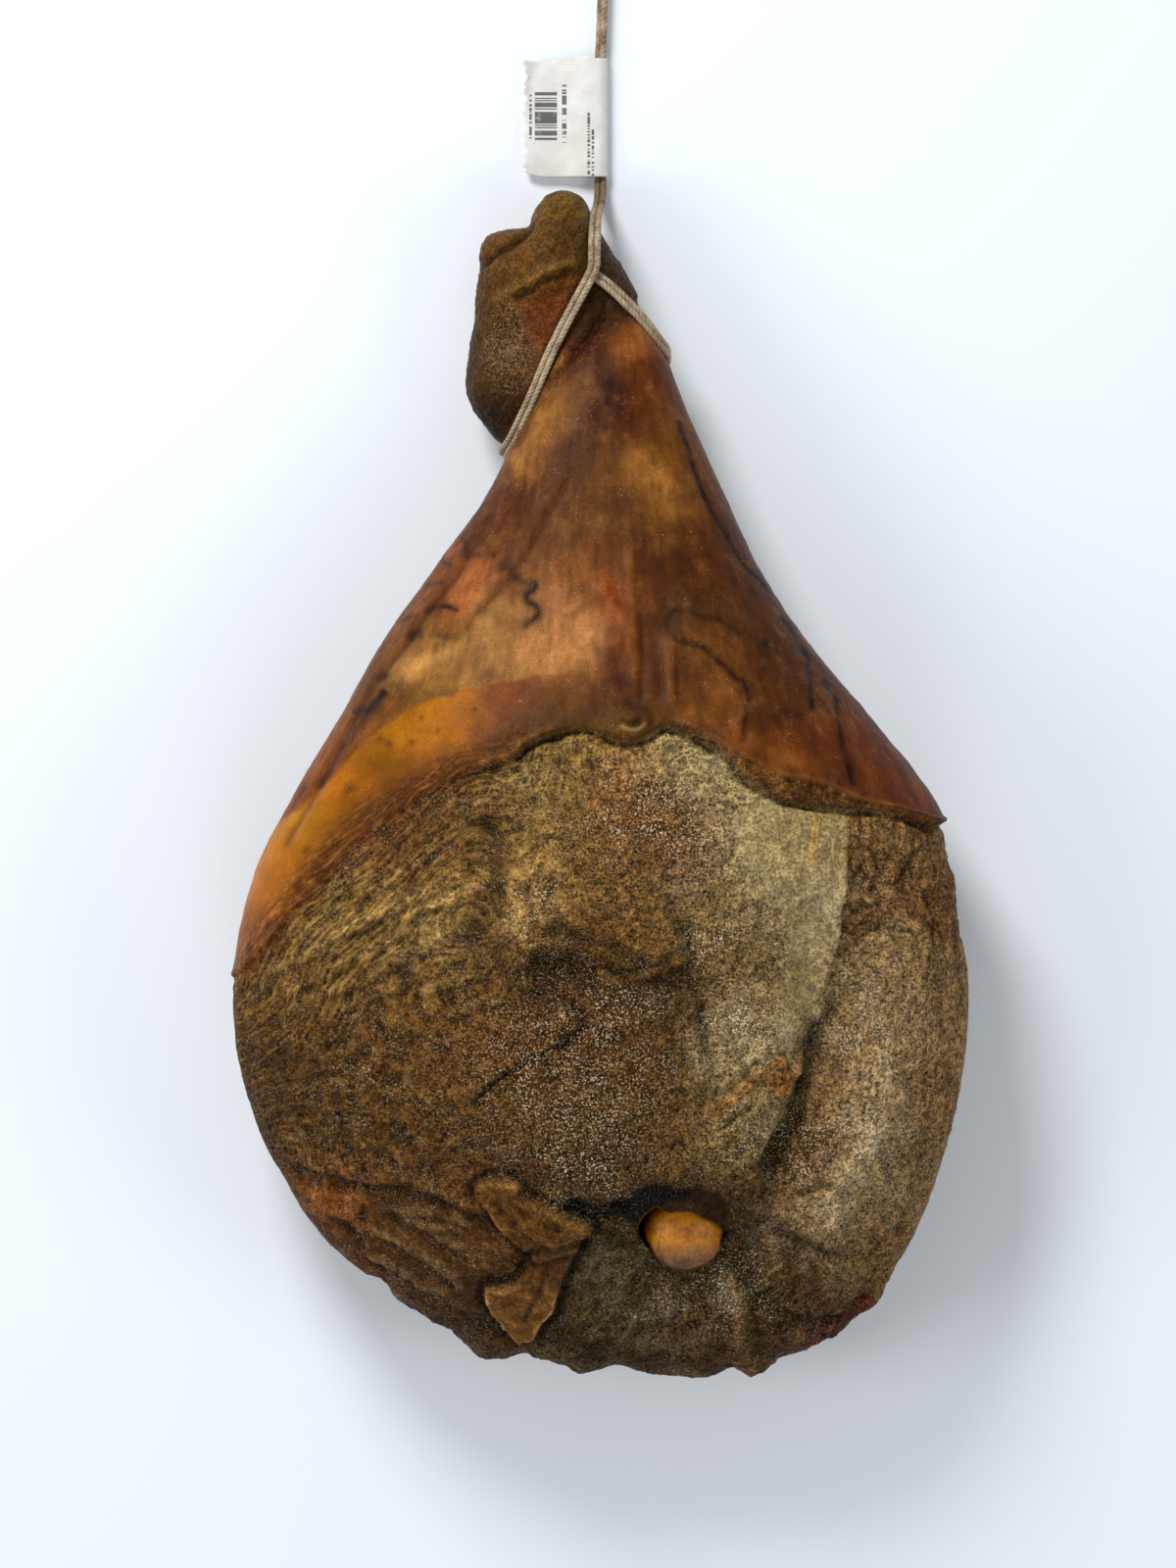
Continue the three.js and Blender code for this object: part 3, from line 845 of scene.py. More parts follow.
def shade(part, mask, amount):
    """Darkens by amount where the mask is 1."""
    tint[part.who] *= (1 - amount * np.clip(mask, 0, 1))[:, None]


def flesh(r, g, b):
    """The surface's own colour from how it looks under a bright lamp: darker and warmer, dark tones most."""
    k = min(max((0.3 * r + 0.59 * g + 0.11 * b - 70) / 80, 0.0), 1.0)
    return colour(r * (0.71 + 0.28 * k), g * (0.58 + 0.34 * k), b * (0.27 + 0.52 * k))


def amber(r, g, b):
    """The same for fat, which glows gold where it is thick and takes all its blue away."""
    k = min(max((0.3 * r + 0.59 * g + 0.11 * b - 70) / 62, 0.0), 1.0)
    return colour(r * (0.58 + 0.30 * k), g * (0.46 + 0.36 * k), b * 0.10)


def leather(r, g, b):
    """The same for the rind, which the lamp from the hock end strikes most squarely."""
    return flesh(r * 0.86, g * 0.845, b * 0.78)


def blend(tones, spread=15.0, graded=flesh):
    """A colour everywhere from colours chosen at a few spots, each spot fading into the next."""
    at = seen + wobble * 2.2
    total, weight = np.zeros((count, 3)), np.full(count, 1e-30)
    for x, y, *rgb in tones:
        w = np.exp(-((at[:, 0] - x) ** 2 + (at[:, 1] - y) ** 2) / spread**2) + 1e-22
        total += w[:, None] * graded(*rgb)
        weight += w
    return total / weight[:, None]


def band(mask, rgb):
    """Paints everywhere by a mask."""
    m = np.clip(mask, 0, 1)[:, None]
    tint[:] = tint * (1 - m) + (flesh(*rgb) if isinstance(rgb, tuple) else rgb) * m


trim = Line(TRIM, 420, on=near)
above = np.full(count, -1e3)  # how far above the trimmed edge, along the face
above[trim.who] = trim.signed
strip = Line(RIND_EDGE, 60, on=near)
over_strip = np.full(count, 50.0)
over_strip[strip.who] = strip.signed
fat = Area(FAT, 60)
far_left = ramp(seen[:, 0], -70, -95)
edge_soft = 0.5 + 3.0 * far_left
rind = ramp(above / edge_soft, -1, 1)
rind = np.maximum(rind, ramp(seen[:, 1], 60, 66))
rear = 1 - ramp(normal[:, 2] + 0.10 * fbm(rest, 18, 3, 5), -0.30, -0.06)
rear = np.maximum(rear, ramp(rest[:, 2], 16, 6))
rind = np.maximum(rind, rear)
meat = 1 - rind

# The trimmed edge of the rind stands up as a thin bead over a dark gap.
strength = 0.35 + 0.65 * ramp(seen[:, 0], -75, -45)
lip = np.exp(-(((above - 1.2) / 0.9) ** 2))
shelf = np.where(above > 0, 2.8 * np.exp(-np.maximum(above, 0) / 16) + 1.1 * lip, 0)
gap = 3.6 * np.exp(-(((above + 1.5) / 1.6) ** 2)) * (0.7 + 0.5 * noise(rest, 17, 3))
lift += (shelf - gap) * strength * facing * (above > -400) * ramp(seen[:, 1], 60, 35)
strip_zone = ramp(above, -0.5, 0.5) * ramp(over_strip, 0.4, -0.4) * ramp(seen[:, 0], 28, 36) * facing
lift -= 1.5 * strip_zone - 1.3 * fbm(rest, 3.2, 3, 8) * strip_zone
bead = np.exp(-(((over_strip - 0.9) / 0.9) ** 2)) * ramp(seen[:, 0], 28, 36) * (seen[:, 1] < 45) * facing
lift += 0.9 * bead

for points, width, deep in (
    (LONG_CREASE, 2.4, 1.1), (FOLD_CURLED, 3.0, 3.0), (FOLD_UPPER, 4.0, 3.0), (FOLD_DOWN, 3.8, 3.0),
    (GROOVE_MIDDLE, 7.0, 4.2), (HOLLOW, 6.5, 6.5), (CREASE_LEFT, 2.0, 2.2), (CREASE_LOW, 1.8, 2.0),
    (CRACK_FAINT, 1.6, 0.8), (GROOVE_RIGHT, 4.6, 6.0), (LOWER_RIGHT, 4.0, 2.2), (CREASE_RIGHT, 2.6, 3.0),
    (HOCK_CREASE, 2.6, 3.4), (HOCK_GROOVE, 2.2, 2.4), (HOCK_SLIT, 1.8, 3.6),
):
    part = Line(points, 20, taper=8, on=near)
    raise_(part, -deep, part.swell(width))
part = Line(LONG_CREASE, 30, taper=10, on=near)
raise_(part, 1.4, np.where(part.signed > 0, np.exp(-part.far / 7), 0) * part.fade)
for points in SKIN_RIDGES:
    part = Line(points, 12, taper=14)
    raise_(part, 1.3, part.swell(3.4))
for points in SKIN_GROOVES:
    part = Line(points, 10, taper=16)
    raise_(part, -0.8, part.swell(2.1))
part = Line(LEFT_EDGE_FOLD, 14, taper=12)
raise_(part, -0.9, part.swell(2.0))
curl = Area(RIND_CURL, 10, on=near)
raise_(curl, 2.2, curl.within(-1, 3))
rim = Line(CURL_RIM, 8, taper=3, on=near)
raise_(rim, 1.0, rim.swell(1.3))
curl_shade = Line(CURL_SHADE, 8, taper=3, on=near)
raise_(curl_shade, -1.4, curl_shade.swell(1.2))
hump = np.exp(-(((seen[:, 0] + 12) / 62) ** 2) - ((seen[:, 1] + 142) / 44) ** 2)
knuckle = np.exp(-(((seen[:, 0] + 12) / 46) ** 2) - ((seen[:, 1] + 36) / 40) ** 2)
lift += (2.6 * hump + 1.6 * knuckle) * facing
part = Line(HOCK_RIDGE, 14, taper=8, on=near)
raise_(part, 2.4, part.swell(2.8))
for points, width, high in (
    (RIDGE_MIDDLE, 4.2, 2.8), (LIP_FOLD, 3.0, 2.4), (KNUCKLE_EDGE, 4.6, 2.4), (SMALL_TONGUE, 2.6, 2.0),
):
    part = Line(points, 20, taper=7, on=near)
    raise_(part, high, part.swell(width))
pale_ridge = Line(PALE_RIDGE, 24, taper=16, on=near)
raise_(pale_ridge, 3.0, pale_ridge.swell(6.5))
for points in BUTT_RAYS:
    part = Line(points, 12, taper=8, on=near)
    raise_(part, 1.8, part.swell(3.0))
    raise_(part, -1.6, part.beside(4.0, 1.8))
for points in BROWN_FOLDS:
    part = Line(points, 10, taper=5, on=near)
    raise_(part, 1.6, part.swell(2.2))
    raise_(part, -1.8, part.beside(-3.0, 1.4))
for points in MUSCLE_LINES:
    part = Line(points, 10, taper=12, on=near)
    raise_(part, 0.9, part.swell(3.2))
    raise_(part, -0.7, part.beside(-3.6, 1.5))
for points in STREAKS_LOWER_LEFT:
    part = Line(points, 10, taper=8, on=near)
    raise_(part, 0.8, part.swell(2.4))
    raise_(part, -1.1, part.beside(-3.2, 1.2))
for points in CORNER_WRINKLES:
    part = Line(points, 8, taper=6, on=near)
    raise_(part, -1.2, part.swell(1.5))
crack = Line(CRACK, 8, taper=14, on=near)
raise_(crack, -3.2, crack.swell(1.15) * ramp(crack.along, 75, 0))
fork = Line(CRACK_FORK, 8, taper=6, on=near)
raise_(fork, -2.0, fork.swell(0.9))
fascia = Area(FASCIA, 20)
raise_(fascia, 1.6, fascia.within(-5, 6))
fascia_edge = Line(FASCIA_EDGE, 24, taper=10, on=near)
dropping = np.where(fascia_edge.signed > 0, np.exp(-fascia_edge.far / 7), 0)
raise_(fascia_edge, -3.0, dropping * fascia_edge.fade)
raise_(fascia_edge, 1.0, fascia_edge.beside(-2, 2.0))
capsule = Area(CAPSULE, 16)
raise_(capsule, 4.0, capsule.within(-5, 9))
tendon = Line(TENDON, 12, taper=5, on=near)
raise_(tendon, 2.0, tendon.swell(2.2))
raise_(tendon, -2.0, tendon.beside(4, 1.6))
tendon_cap = Area(TENDON_CAP, 10)
raise_(tendon_cap, 2.4, tendon_cap.within(-1.5, 3))
step = Line(STEP_LEFT, 30, taper=14, on=near)
raise_(step, -3.4, np.where(step.signed < 0, np.exp(-step.far / 9), 0) * step.fade)
raise_(step, 1.6, step.beside(2.5, 2.6))
overhang = Line(OVERHANG, 16, taper=6, on=near)
raise_(overhang, 2.0, overhang.beside(3, 3.0))
pit = Area(PIT, 14)
raise_(pit, -2.0, pit.within(-2, 3))
channel = Line(CHANNEL, 14, taper=5, on=near)
raise_(channel, -7.0, channel.swell(3.0))
rim_flap = Area(RIM_FLAP, 8)
raise_(rim_flap, 2.6, rim_flap.within(-1.2, 2))
tongue, lobe = Area(FLAP_TONGUE, 10, on=near), Area(FLAP_LOBE, 10, on=near)
for part, high, edge in ((lobe, 3.4, 0.9), (tongue, 5.4, 1.1)):
    raise_(part, high, part.within(-edge, edge))
    raise_(part, 0.7, part.rim(1.6, 1.3))
    raise_(part, -2.4, part.rim(-2.4, 1.7))
    raise_(part, 0.8, fbm(rest[part.who], 8, 2, 221) * part.within(0, 3))
for points in FLAP_FOLDS:
    part = Line(points, 8, taper=5, on=near)
    raise_(part, -1.3, part.swell(1.4))
butt = Area(BUTT, 10)
outward = seen - np.array([36.0, -206.0])
angle = np.arctan2(outward[:, 1], outward[:, 0])
rays = np.stack([angle * 26, np.linalg.norm(outward, axis=1) * 0.12, rest[:, 2] * 0.0], 1)
raise_(butt, 1.5, fbm(rays[butt.who], 5, 2, 31) * butt.within(0, 10))
tail = Area(TAIL, 8)
raise_(tail, 2.2, tail.within(-1, 2.5))
orange_edge = Area(ORANGE_EDGE, 8)
raise_(orange_edge, 2.0, orange_edge.within(-2, 4))
corner = Area(BROWN_CORNER, 12)
raise_(corner, 1.2, fbm(rest[corner.who], 7, 3, 41) * corner.within(-3, 5))
hock_hollow = Area(HOCK_HOLLOW, 8)
raise_(hock_hollow, -2.0, hock_hollow.within(-1.5, 5))
hock_grain = Area(HOCK_GRAIN, 8)
hock_pitted = np.zeros(count)
hock_pitted[hock_grain.who] = hock_grain.fill(3.0)
knob = Area(KNOB, 8)

on_hock = ramp(seen[:, 1] - 0.9 * seen[:, 0], 196, 206) * ramp(seen[:, 0], 30, 20) * facing
on_hock = np.maximum(on_hock, ramp(seen[:, 0], -40, -46) * ramp(seen[:, 1], 150, 156) * facing)
on_hock = np.maximum(on_hock, ramp(seen[:, 1], 226, 232) * facing)

shape = lift.copy()  # the folds alone, before the grain

# The grain of cut, dried meat; the rind and fat are nearly smooth, with a leathery unevenness.
coarse = fbm(rest, 7.0, 3, 51)
fine = fbm(rest, 2.6, 2, 61)
swirl = fbm(rest, 30, 2, 71)
smooth_fascia = np.zeros(count)
smooth_fascia[fascia.who] = fascia.fill(4.0)
rough = meat * (1 - 0.6 * smooth_fascia) * ramp(normal[:, 2], 0.0, 0.5)
lift += rough * (1.0 * coarse + 0.7 * fine + 1.3 * swirl) + 0.3 * meat * coarse
lift += (1 - meat) * (0.35 * fbm(rest, 16, 3, 81) + 0.10 * fbm(rest, 4.0, 2, 91)) * ramp(rest[:, 2], 3, 12)
lift += on_hock * (0.5 * coarse + 0.30 * fine) + hock_pitted * 0.7 * fbm(rest, 2.8, 2, 95)

# Rags and notches along the sawn, trimmed butt end, low down where its outline is seen.
butt_end = ramp(rest[:, 1], -205, -240) * ramp(np.abs(normal[:, 2]), 0.9, 0.5)
lift += butt_end * (1.6 * fbm(rest, 16, 3, 101) + 0.7 * fbm(rest, 6, 2, 103))

# ---- colours -----------------------------------------------------------------------------------
SKIN_TONES = [  # x, y and the rind's colour there
    (-20, 190, 166, 118, 64), (-28, 166, 160, 112, 62), (-36, 150, 150, 104, 58), (0, 196, 140, 86, 48),
    (22, 200, 150, 88, 42), (36, 186, 116, 66, 32), (10, 210, 158, 96, 50), (30, 165, 160, 108, 55),
    (42, 150, 138, 90, 42), (50, 130, 136, 86, 42), (62, 116, 104, 64, 34), (18, 150, 168, 120, 60),
    (25, 130, 158, 112, 60), (0, 140, 138, 98, 60), (-20, 140, 112, 74, 48), (-38, 136, 130, 84, 50),
    (-50, 118, 140, 84, 44), (-5, 120, 134, 96, 60), (-25, 115, 128, 86, 54), (15, 100, 134, 86, 50),
    (35, 110, 118, 78, 50), (52, 100, 136, 86, 44), (76, 88, 120, 74, 38), (-50, 98, 182, 114, 70),
    (-62, 86, 168, 108, 64), (-50, 84, 168, 126, 76), (-36, 102, 148, 104, 62), (-20, 82, 188, 138, 92),
    (-9, 96, 168, 108, 60), (0, 88, 176, 106, 52), (7, 74, 168, 82, 28), (-30, 64, 190, 142, 92),
    (-10, 64, 184, 134, 90), (-48, 62, 180, 138, 84), (-70, 62, 180, 136, 82), (-82, 55, 176, 134, 80),
    (-92, 48, 152, 112, 64), (-85, 76, 152, 96, 50), (-98, 60, 148, 92, 40), (-70, 98, 158, 94, 44),
    (-108, 38, 150, 104, 52), (-120, 18, 168, 106, 44), (-130, 0, 172, 102, 36),
    (-148, -30, 176, 104, 30),
    (20, 62, 120, 72, 36), (26, 48, 126, 74, 36), (14, 46, 150, 94, 56), (8, 36, 122, 84, 50),
    (12, 27, 122, 94, 46), (40, 72, 114, 84, 60), (55, 74, 116, 86, 60), (45, 52, 140, 92, 44),
    (52, 34, 150, 98, 42), (66, 54, 122, 78, 38), (82, 56, 118, 76, 40), (76, 35, 124, 80, 40),
    (90, 45, 118, 76, 42), (70, 18, 142, 86, 34), (90, 8, 152, 90, 38), (106, 30, 124, 74, 42),
    (112, 10, 112, 76, 44), (124, 8, 132, 68, 34), (142, -6, 130, 64, 32), (158, -14, 104, 54, 28),
    (98, 65, 112, 72, 38), (120, 34, 116, 66, 36),
]
FAT_TONES = [
    (-55, 42, 166, 92, 28), (-40, 44, 160, 80, 16), (-22, 44, 162, 88, 22), (-8, 44, 132, 92, 52),
    (-65, 34, 202, 130, 18), (-76, 28, 206, 134, 22), (-60, 26, 188, 104, 14), (-92, 24, 186, 128, 46),
    (-88, 38, 172, 102, 40), (-100, 10, 156, 104, 44), (-84, 12, 172, 98, 20), (-94, -8, 116, 72, 38),
    (-110, -14, 132, 88, 40), (-119, 0, 196, 120, 24), (-134, -20, 190, 132, 50),
    (-124, -25, 166, 104, 28),
    (-146, -40, 204, 130, 30), (-138, -50, 166, 92, 14), (-154, -55, 200, 124, 18),
    (-162, -72, 184, 108, 12),
    (-170, -86, 176, 104, 22), (-42, 32, 128, 76, 32), (-20, 36, 122, 82, 40), (-30, 22, 106, 84, 42),
    (-50, 22, 116, 76, 34), (-66, 8, 104, 76, 38), (-8, 30, 118, 92, 40), (-118, -30, 112, 68, 34),
    (-132, -46, 112, 66, 28), (-150, -68, 110, 66, 28),
]
MEAT_TONES = [
    (-155, -100, 112, 88, 44), (-150, -120, 98, 74, 38), (-140, -92, 122, 98, 54),
    (-120, -72, 126, 104, 60),
    (-100, -56, 130, 108, 64), (-80, -60, 146, 126, 86), (-85, -40, 120, 94, 50),
    (-75, -20, 104, 78, 42),
    (-65, -10, 112, 88, 48), (-95, -28, 112, 74, 36), (-50, -8, 122, 102, 64), (-30, 2, 134, 118, 82),
    (-10, 10, 130, 112, 72), (8, 6, 146, 108, 64), (28, 14, 150, 138, 102), (48, 4, 152, 142, 110),
    (-30, -25, 124, 106, 68), (-43, -44, 154, 126, 80), (-38, -62, 146, 118, 72),
    (-20, -45, 128, 104, 66),
    (-5, -30, 122, 98, 60), (12, -12, 122, 84, 50), (32, -12, 110, 72, 44), (42, -32, 112, 76, 48),
    (20, -42, 124, 100, 66), (45, -56, 134, 116, 84), (64, -28, 158, 148, 118), (82, -40, 152, 144, 114),
    (100, -25, 154, 142, 106), (95, -60, 154, 146, 122), (75, -66, 124, 110, 86),
    (100, -90, 144, 138, 116),
    (60, -60, 132, 114, 86), (-38, -72, 104, 82, 56), (-22, -78, 86, 64, 42), (0, -80, 112, 84, 48),
    (18, -78, 134, 106, 62), (30, -92, 84, 70, 46), (55, -84, 124, 104, 76), (62, -100, 130, 114, 88),
    (60, -122, 142, 130, 106), (75, -96, 128, 114, 88), (88, -112, 138, 128, 104),
    (-130, -130, 100, 76, 38),
    (-100, -110, 108, 82, 42), (-100, -150, 102, 77, 42), (-140, -150, 96, 73, 40),
    (-70, -100, 114, 87, 45),
    (-60, -130, 108, 80, 42), (-80, -170, 104, 80, 48), (-120, -168, 104, 82, 48),
    (-20, -105, 100, 71, 42),
    (-10, -125, 94, 66, 40), (20, -110, 102, 72, 43), (20, -140, 100, 75, 48), (-10, -160, 102, 77, 50),
    (-40, -165, 100, 75, 48), (34, -160, 108, 84, 54), (-30, -145, 94, 69, 44), (0, -180, 96, 78, 52),
    (60, -158, 128, 116, 86), (75, -158, 134, 122, 94), (66, -174, 104, 92, 68),
    (115, -92, 134, 112, 82),
    (130, -90, 146, 128, 102), (150, -96, 140, 116, 86), (142, -120, 148, 128, 102),
    (115, -120, 136, 116, 90),
    (152, -142, 136, 110, 80), (125, -150, 152, 134, 108), (108, -150, 142, 118, 86),
    (140, -180, 128, 108, 82),
    (120, -188, 150, 136, 112), (104, -200, 160, 146, 122), (130, -210, 128, 104, 74),
    (96, -185, 116, 82, 48),
    (91, -162, 82, 50, 30), (114, -214, 122, 102, 74), (85, -225, 94, 74, 48), (100, -235, 102, 78, 46),
    (80, -246, 84, 66, 44), (100, -250, 88, 58, 36), (0, -226, 86, 82, 68), (20, -240, 86, 77, 60),
    (45, -236, 80, 68, 50), (10, -260, 76, 62, 44), (40, -262, 98, 74, 42), (-10, -245, 80, 73, 60),
    (60, -240, 80, 66, 48), (30, -272, 72, 50, 30), (-100, -190, 104, 76, 38), (-120, -195, 134, 88, 44),
    (-90, -205, 98, 70, 36), (-70, -215, 100, 72, 40), (-112, -215, 98, 62, 32), (-80, -235, 86, 60, 32),
    (-60, -246, 77, 55, 31), (-42, -262, 86, 68, 46), (-20, -268, 80, 62, 42), (-54, -196, 120, 88, 52),
    (-135, -200, 104, 64, 32), (8, -190, 66, 50, 34), (64, -208, 76, 62, 46),
]
HOCK_TONES = [
    (-20, 270, 112, 92, 30), (-10, 262, 96, 76, 36), (-26, 258, 118, 90, 44), (-14, 248, 92, 72, 42),
    (-42, 246, 124, 94, 46), (-50, 240, 108, 78, 36), (-40, 232, 112, 88, 48), (-24, 228, 110, 80, 40),
    (-48, 216, 100, 78, 44), (-42, 200, 104, 84, 50), (-50, 186, 90, 68, 34), (-22, 214, 128, 74, 30),
    (-28, 200, 120, 70, 32), (-46, 172, 56, 40, 18), (-38, 160, 50, 32, 14), (2, 244, 82, 60, 32),
    (12, 232, 84, 56, 30), (-4, 224, 60, 50, 28), (-58, 200, 88, 66, 32), (-56, 222, 98, 74, 38),
]
upper = blend(SKIN_TONES, 17, leather)
lower = blend(MEAT_TONES, 17)
fatty = blend(FAT_TONES, 13, amber)
shin = blend(HOCK_TONES, 12)

mottle = fbm(rest, 20, 3, 111)
flecks = fbm(rest, 5.0, 3, 121)
rear_tone = colour(112, 66, 28) * (1 + 0.22 * fbm(rest, 34, 3, 131)[:, None] + 0.05 * flecks[:, None])
rear_dark = ramp(fbm(rest, 42, 3, 141), 0.12, 0.7)[:, None]
rear_tone = rear_tone * (1 - 0.55 * rear_dark) + 0.55 * rear_dark * colour(72, 38, 18)
rear_gold = ramp(fbm(rest, 55, 2, 151), 0.1, 0.8)[:, None]
rear_tone = rear_tone * (1 - 0.5 * rear_gold) + 0.5 * rear_gold * colour(138, 88, 36)

tint[:] = lower
band(ramp(above / edge_soft, -1, 1) * (seen[:, 1] < 70), upper)
band(ramp(seen[:, 1], 60, 66), upper)
fat_edge = np.zeros(count)
fat_edge[fat.who] = fat.within(-1.4, 1.4) * ramp(seen[fat.who, 0], -1, -20)
fade_down = ramp(above, -4.0 - 10 * far_left, 2.0 + 6 * far_left)
band(fat_edge * np.maximum(fade_down, 0.0), fatty)
brown_seam = ramp(above, -9, -1) * ramp(above, 16, 5) * ramp(seen[:, 0], -20, -45) * facing
band(brown_seam * (0.55 + 0.4 * flecks), (104, 64, 32))
band(strip_zone, colour(84, 56, 24) * (1 + 0.5 * flecks[:, None]))
# Painted highlight along the bead of the trimmed rind's edge.
band(0.6 * bead, (146, 106, 60))
band(on_hock, shin)

for points, half, rgb, amount in BRUISES:
    part = Line(points, half * 2.2)
    patchy = 0.85 + 0.6 * fbm(rest[part.who], 8, 3, 161)
    bruise = np.exp(-((part.far / half) ** 2)) * np.clip(patchy, 0.15, 1) * facing[part.who]
    paint(part, 1.25 * amount * bruise, rgb)
for points, width, strong in VEINS:
    part = Line(points, 8, taper=3, on=near)
    uneven = 0.7 + 0.45 * noise(rest[part.who], 6, 171)
    paint(part, 0.4 * strong * part.swell(width * 2.6), (100, 60, 46))
    paint(part, 1.2 * strong * np.clip(uneven + 0.2, 0.3, 1) * part.swell(1.15 * width), (40, 22, 26))
    raise_(part, -0.35 * strong, part.swell(width))
paint(tendon_cap, tendon_cap.fill(1.5) * 0.85, (142, 98, 42))
paint(tendon, tendon.swell(2.4) * 0.8, (150, 106, 46))
paint(orange_edge, orange_edge.fill(2.5) * 0.6, (148, 94, 42))
paint(corner, corner.fill(3) * 0.75, (124, 88, 44))
red_edge = Area(RED_EDGE, 6)
paint(red_edge, red_edge.fill(1.5) * 0.85, (104, 38, 16))
paint(tongue, tongue.within(-0.8, 0.8), (118, 88, 52))
# Painted highlight along the tongue's upper edge.
tongue_highlight_edge = ramp(seen[tongue.who, 1] + 0.55 * seen[tongue.who, 0], -216, -206)
paint(tongue, (0.1 + 0.5 * tongue_highlight_edge) * tongue.rim(0.8, 0.8), (164, 126, 78))
paint(lobe, lobe.within(-0.8, 0.8), (122, 92, 58))
paint(lobe, ramp(seen[lobe.who, 1], -236, -224) * lobe.within(-0.8, 0.8) * 0.7, (104, 70, 38))
# Painted highlight along the lobe's lower edge.
lobe_highlight_edge = ramp(seen[lobe.who, 1], -228, -238)
paint(lobe, np.exp(-(((lobe.inner - 0.8) / 0.8) ** 2)) * 0.7 * lobe_highlight_edge * facing[lobe.who], (180, 142, 90))
for part in (tongue, lobe):
    blotch = ramp(fbm(rest[part.who], 6, 3, 211), 0.0, 0.7) * part.within(-0.8, 0.8)
    paint(part, 0.45 * blotch, (92, 62, 32))
    # Painted shadow just outside the flap's edges.
    shade(part, part.rim(-2.0, 1.9), 0.62)
# Painted shade in the flap's folds.
for points in FLAP_FOLDS:
    part = Line(points, 8, taper=5, on=near)
    shade(part, part.swell(1.3), 0.5)
paint(tail, tail.fill(1.2) * 0.7, (122, 98, 64))
paint(knob, knob.fill(2.5) * 0.6, (124, 100, 32))
paint(rim_flap, rim_flap.fill(1.5) * 0.7, (74, 58, 42))
# Darker in the socket round the ball: the meat's own brown, with painted shade in the recess.
paint(pit, pit.fill(3) * 0.85, (62, 44, 28))
pit_shadow = Area(PIT_SHADOW, 8)
paint(pit_shadow, pit_shadow.fill(2.0), (14, 9, 5))
paint(hock_hollow, hock_hollow.fill(3) * 0.5, (128, 70, 28))
# Painted shadow under the noose where its two legs meet, beside the hock's crease.
hock_shadow = Area(HOCK_SHADOW, 6)
paint(hock_shadow, hock_shadow.fill(2) * 0.6, (52, 42, 22))

paint(curl, 0.5 * curl.within(-1, 2), (104, 82, 44))
# Painted highlight on the curl's rim.
paint(rim, 0.5 * rim.swell(1.0), (168, 144, 92))
paint(curl_shade, 0.7 * curl_shade.swell(1.4), (46, 30, 18))
paint(pale_ridge, 0.7 * pale_ridge.swell(6.0), (160, 146, 120))
yellow = Line([(99, -14), (98, -26), (97, -40)], 8, taper=6, on=near)
paint(yellow, 0.7 * yellow.swell(1.4), (186, 146, 66))
# Painted shade along the grooves, creases, cracks and the channel, and painted highlight along the ridges
# that stand up; the hock's crease also keeps some of its own red.
for points, width, amount, rgb in (
    (HOLLOW, 9, 0.75, (52, 36, 22)), (GROOVE_MIDDLE, 8.0, 0.6, (60, 42, 24)),
    (FOLD_DOWN, 3.6, 0.45, (62, 46, 30)),
    (FOLD_CURLED, 3.0, 0.75, (50, 34, 20)), (FOLD_UPPER, 3.0, 0.6, (62, 42, 24)),
    (RIDGE_MIDDLE, 4.0, 0.35, (164, 134, 86)), (LIP_FOLD, 2.2, 0.6, (152, 116, 66)),
    (SMALL_TONGUE, 2.2, 0.55, (150, 112, 66)), (CREASE_LEFT, 1.8, 0.8, (40, 22, 12)),
    (CREASE_LOW, 1.6, 0.7, (48, 28, 14)),
    (GROOVE_RIGHT, 3.0, 0.75, (40, 30, 20)), (CRACK, 1.3, 0.95, (22, 14, 8)),
    (CRACK_FORK, 1.1, 0.85, (30, 18, 10)),
    (CRACK_FAINT, 1.6, 0.5, (60, 40, 22)), (LOWER_RIGHT, 2.6, 0.7, (56, 42, 26)),
    (CREASE_RIGHT, 2.2, 0.8, (44, 28, 16)),
    (HOCK_RIDGE, 2.4, 0.45, (150, 120, 74)), (HOCK_GROOVE, 2.0, 0.6, (58, 38, 20)),
    (HOCK_CREASE, 3.2, 0.75, (60, 26, 8)), (HOCK_SLIT, 1.8, 0.8, (58, 30, 12)),
    (CHANNEL, 3.6, 0.95, (16, 11, 7)),
    (LONG_CREASE, 1.3, 0.5, (84, 50, 30)), (LEFT_EDGE_FOLD, 1.6, 0.55, (78, 46, 26)),
    ([(102, -107), (98, -120), (97, -128)], 3.0, 0.5, (34, 30, 24)),
    ([(90, -148), (92, -160), (90, -170)], 4.0, 0.55, (74, 34, 14)),
):
    part = Line(points, 14, taper=5, on=near)
    paint(part, amount * part.swell(width), rgb)
# A painted highlight along each strand and painted shade in the groove beside it.
for points in MUSCLE_LINES + STREAKS_LOWER_LEFT:
    part = Line(points, 10, taper=12, on=near)
    paint(part, 0.16 * part.swell(2.2), (166, 144, 100))
    shade(part, part.beside(-3.4, 1.4), 0.36)
# Painted shade in the wrinkles.
for points in CORNER_WRINKLES:
    part = Line(points, 8, taper=6, on=near)
    shade(part, part.swell(1.2), 0.55)
# Painted highlight along the rind's ridges.
for points in SKIN_RIDGES:
    part = Line(points, 10, taper=12)
    paint(part, 0.4 * part.swell(2.2), (168, 112, 70))
# Painted shade in the rind's grooves.
for points in SKIN_GROOVES:
    part = Line(points, 10, taper=12)
    shade(part, part.swell(1.8), 0.32)
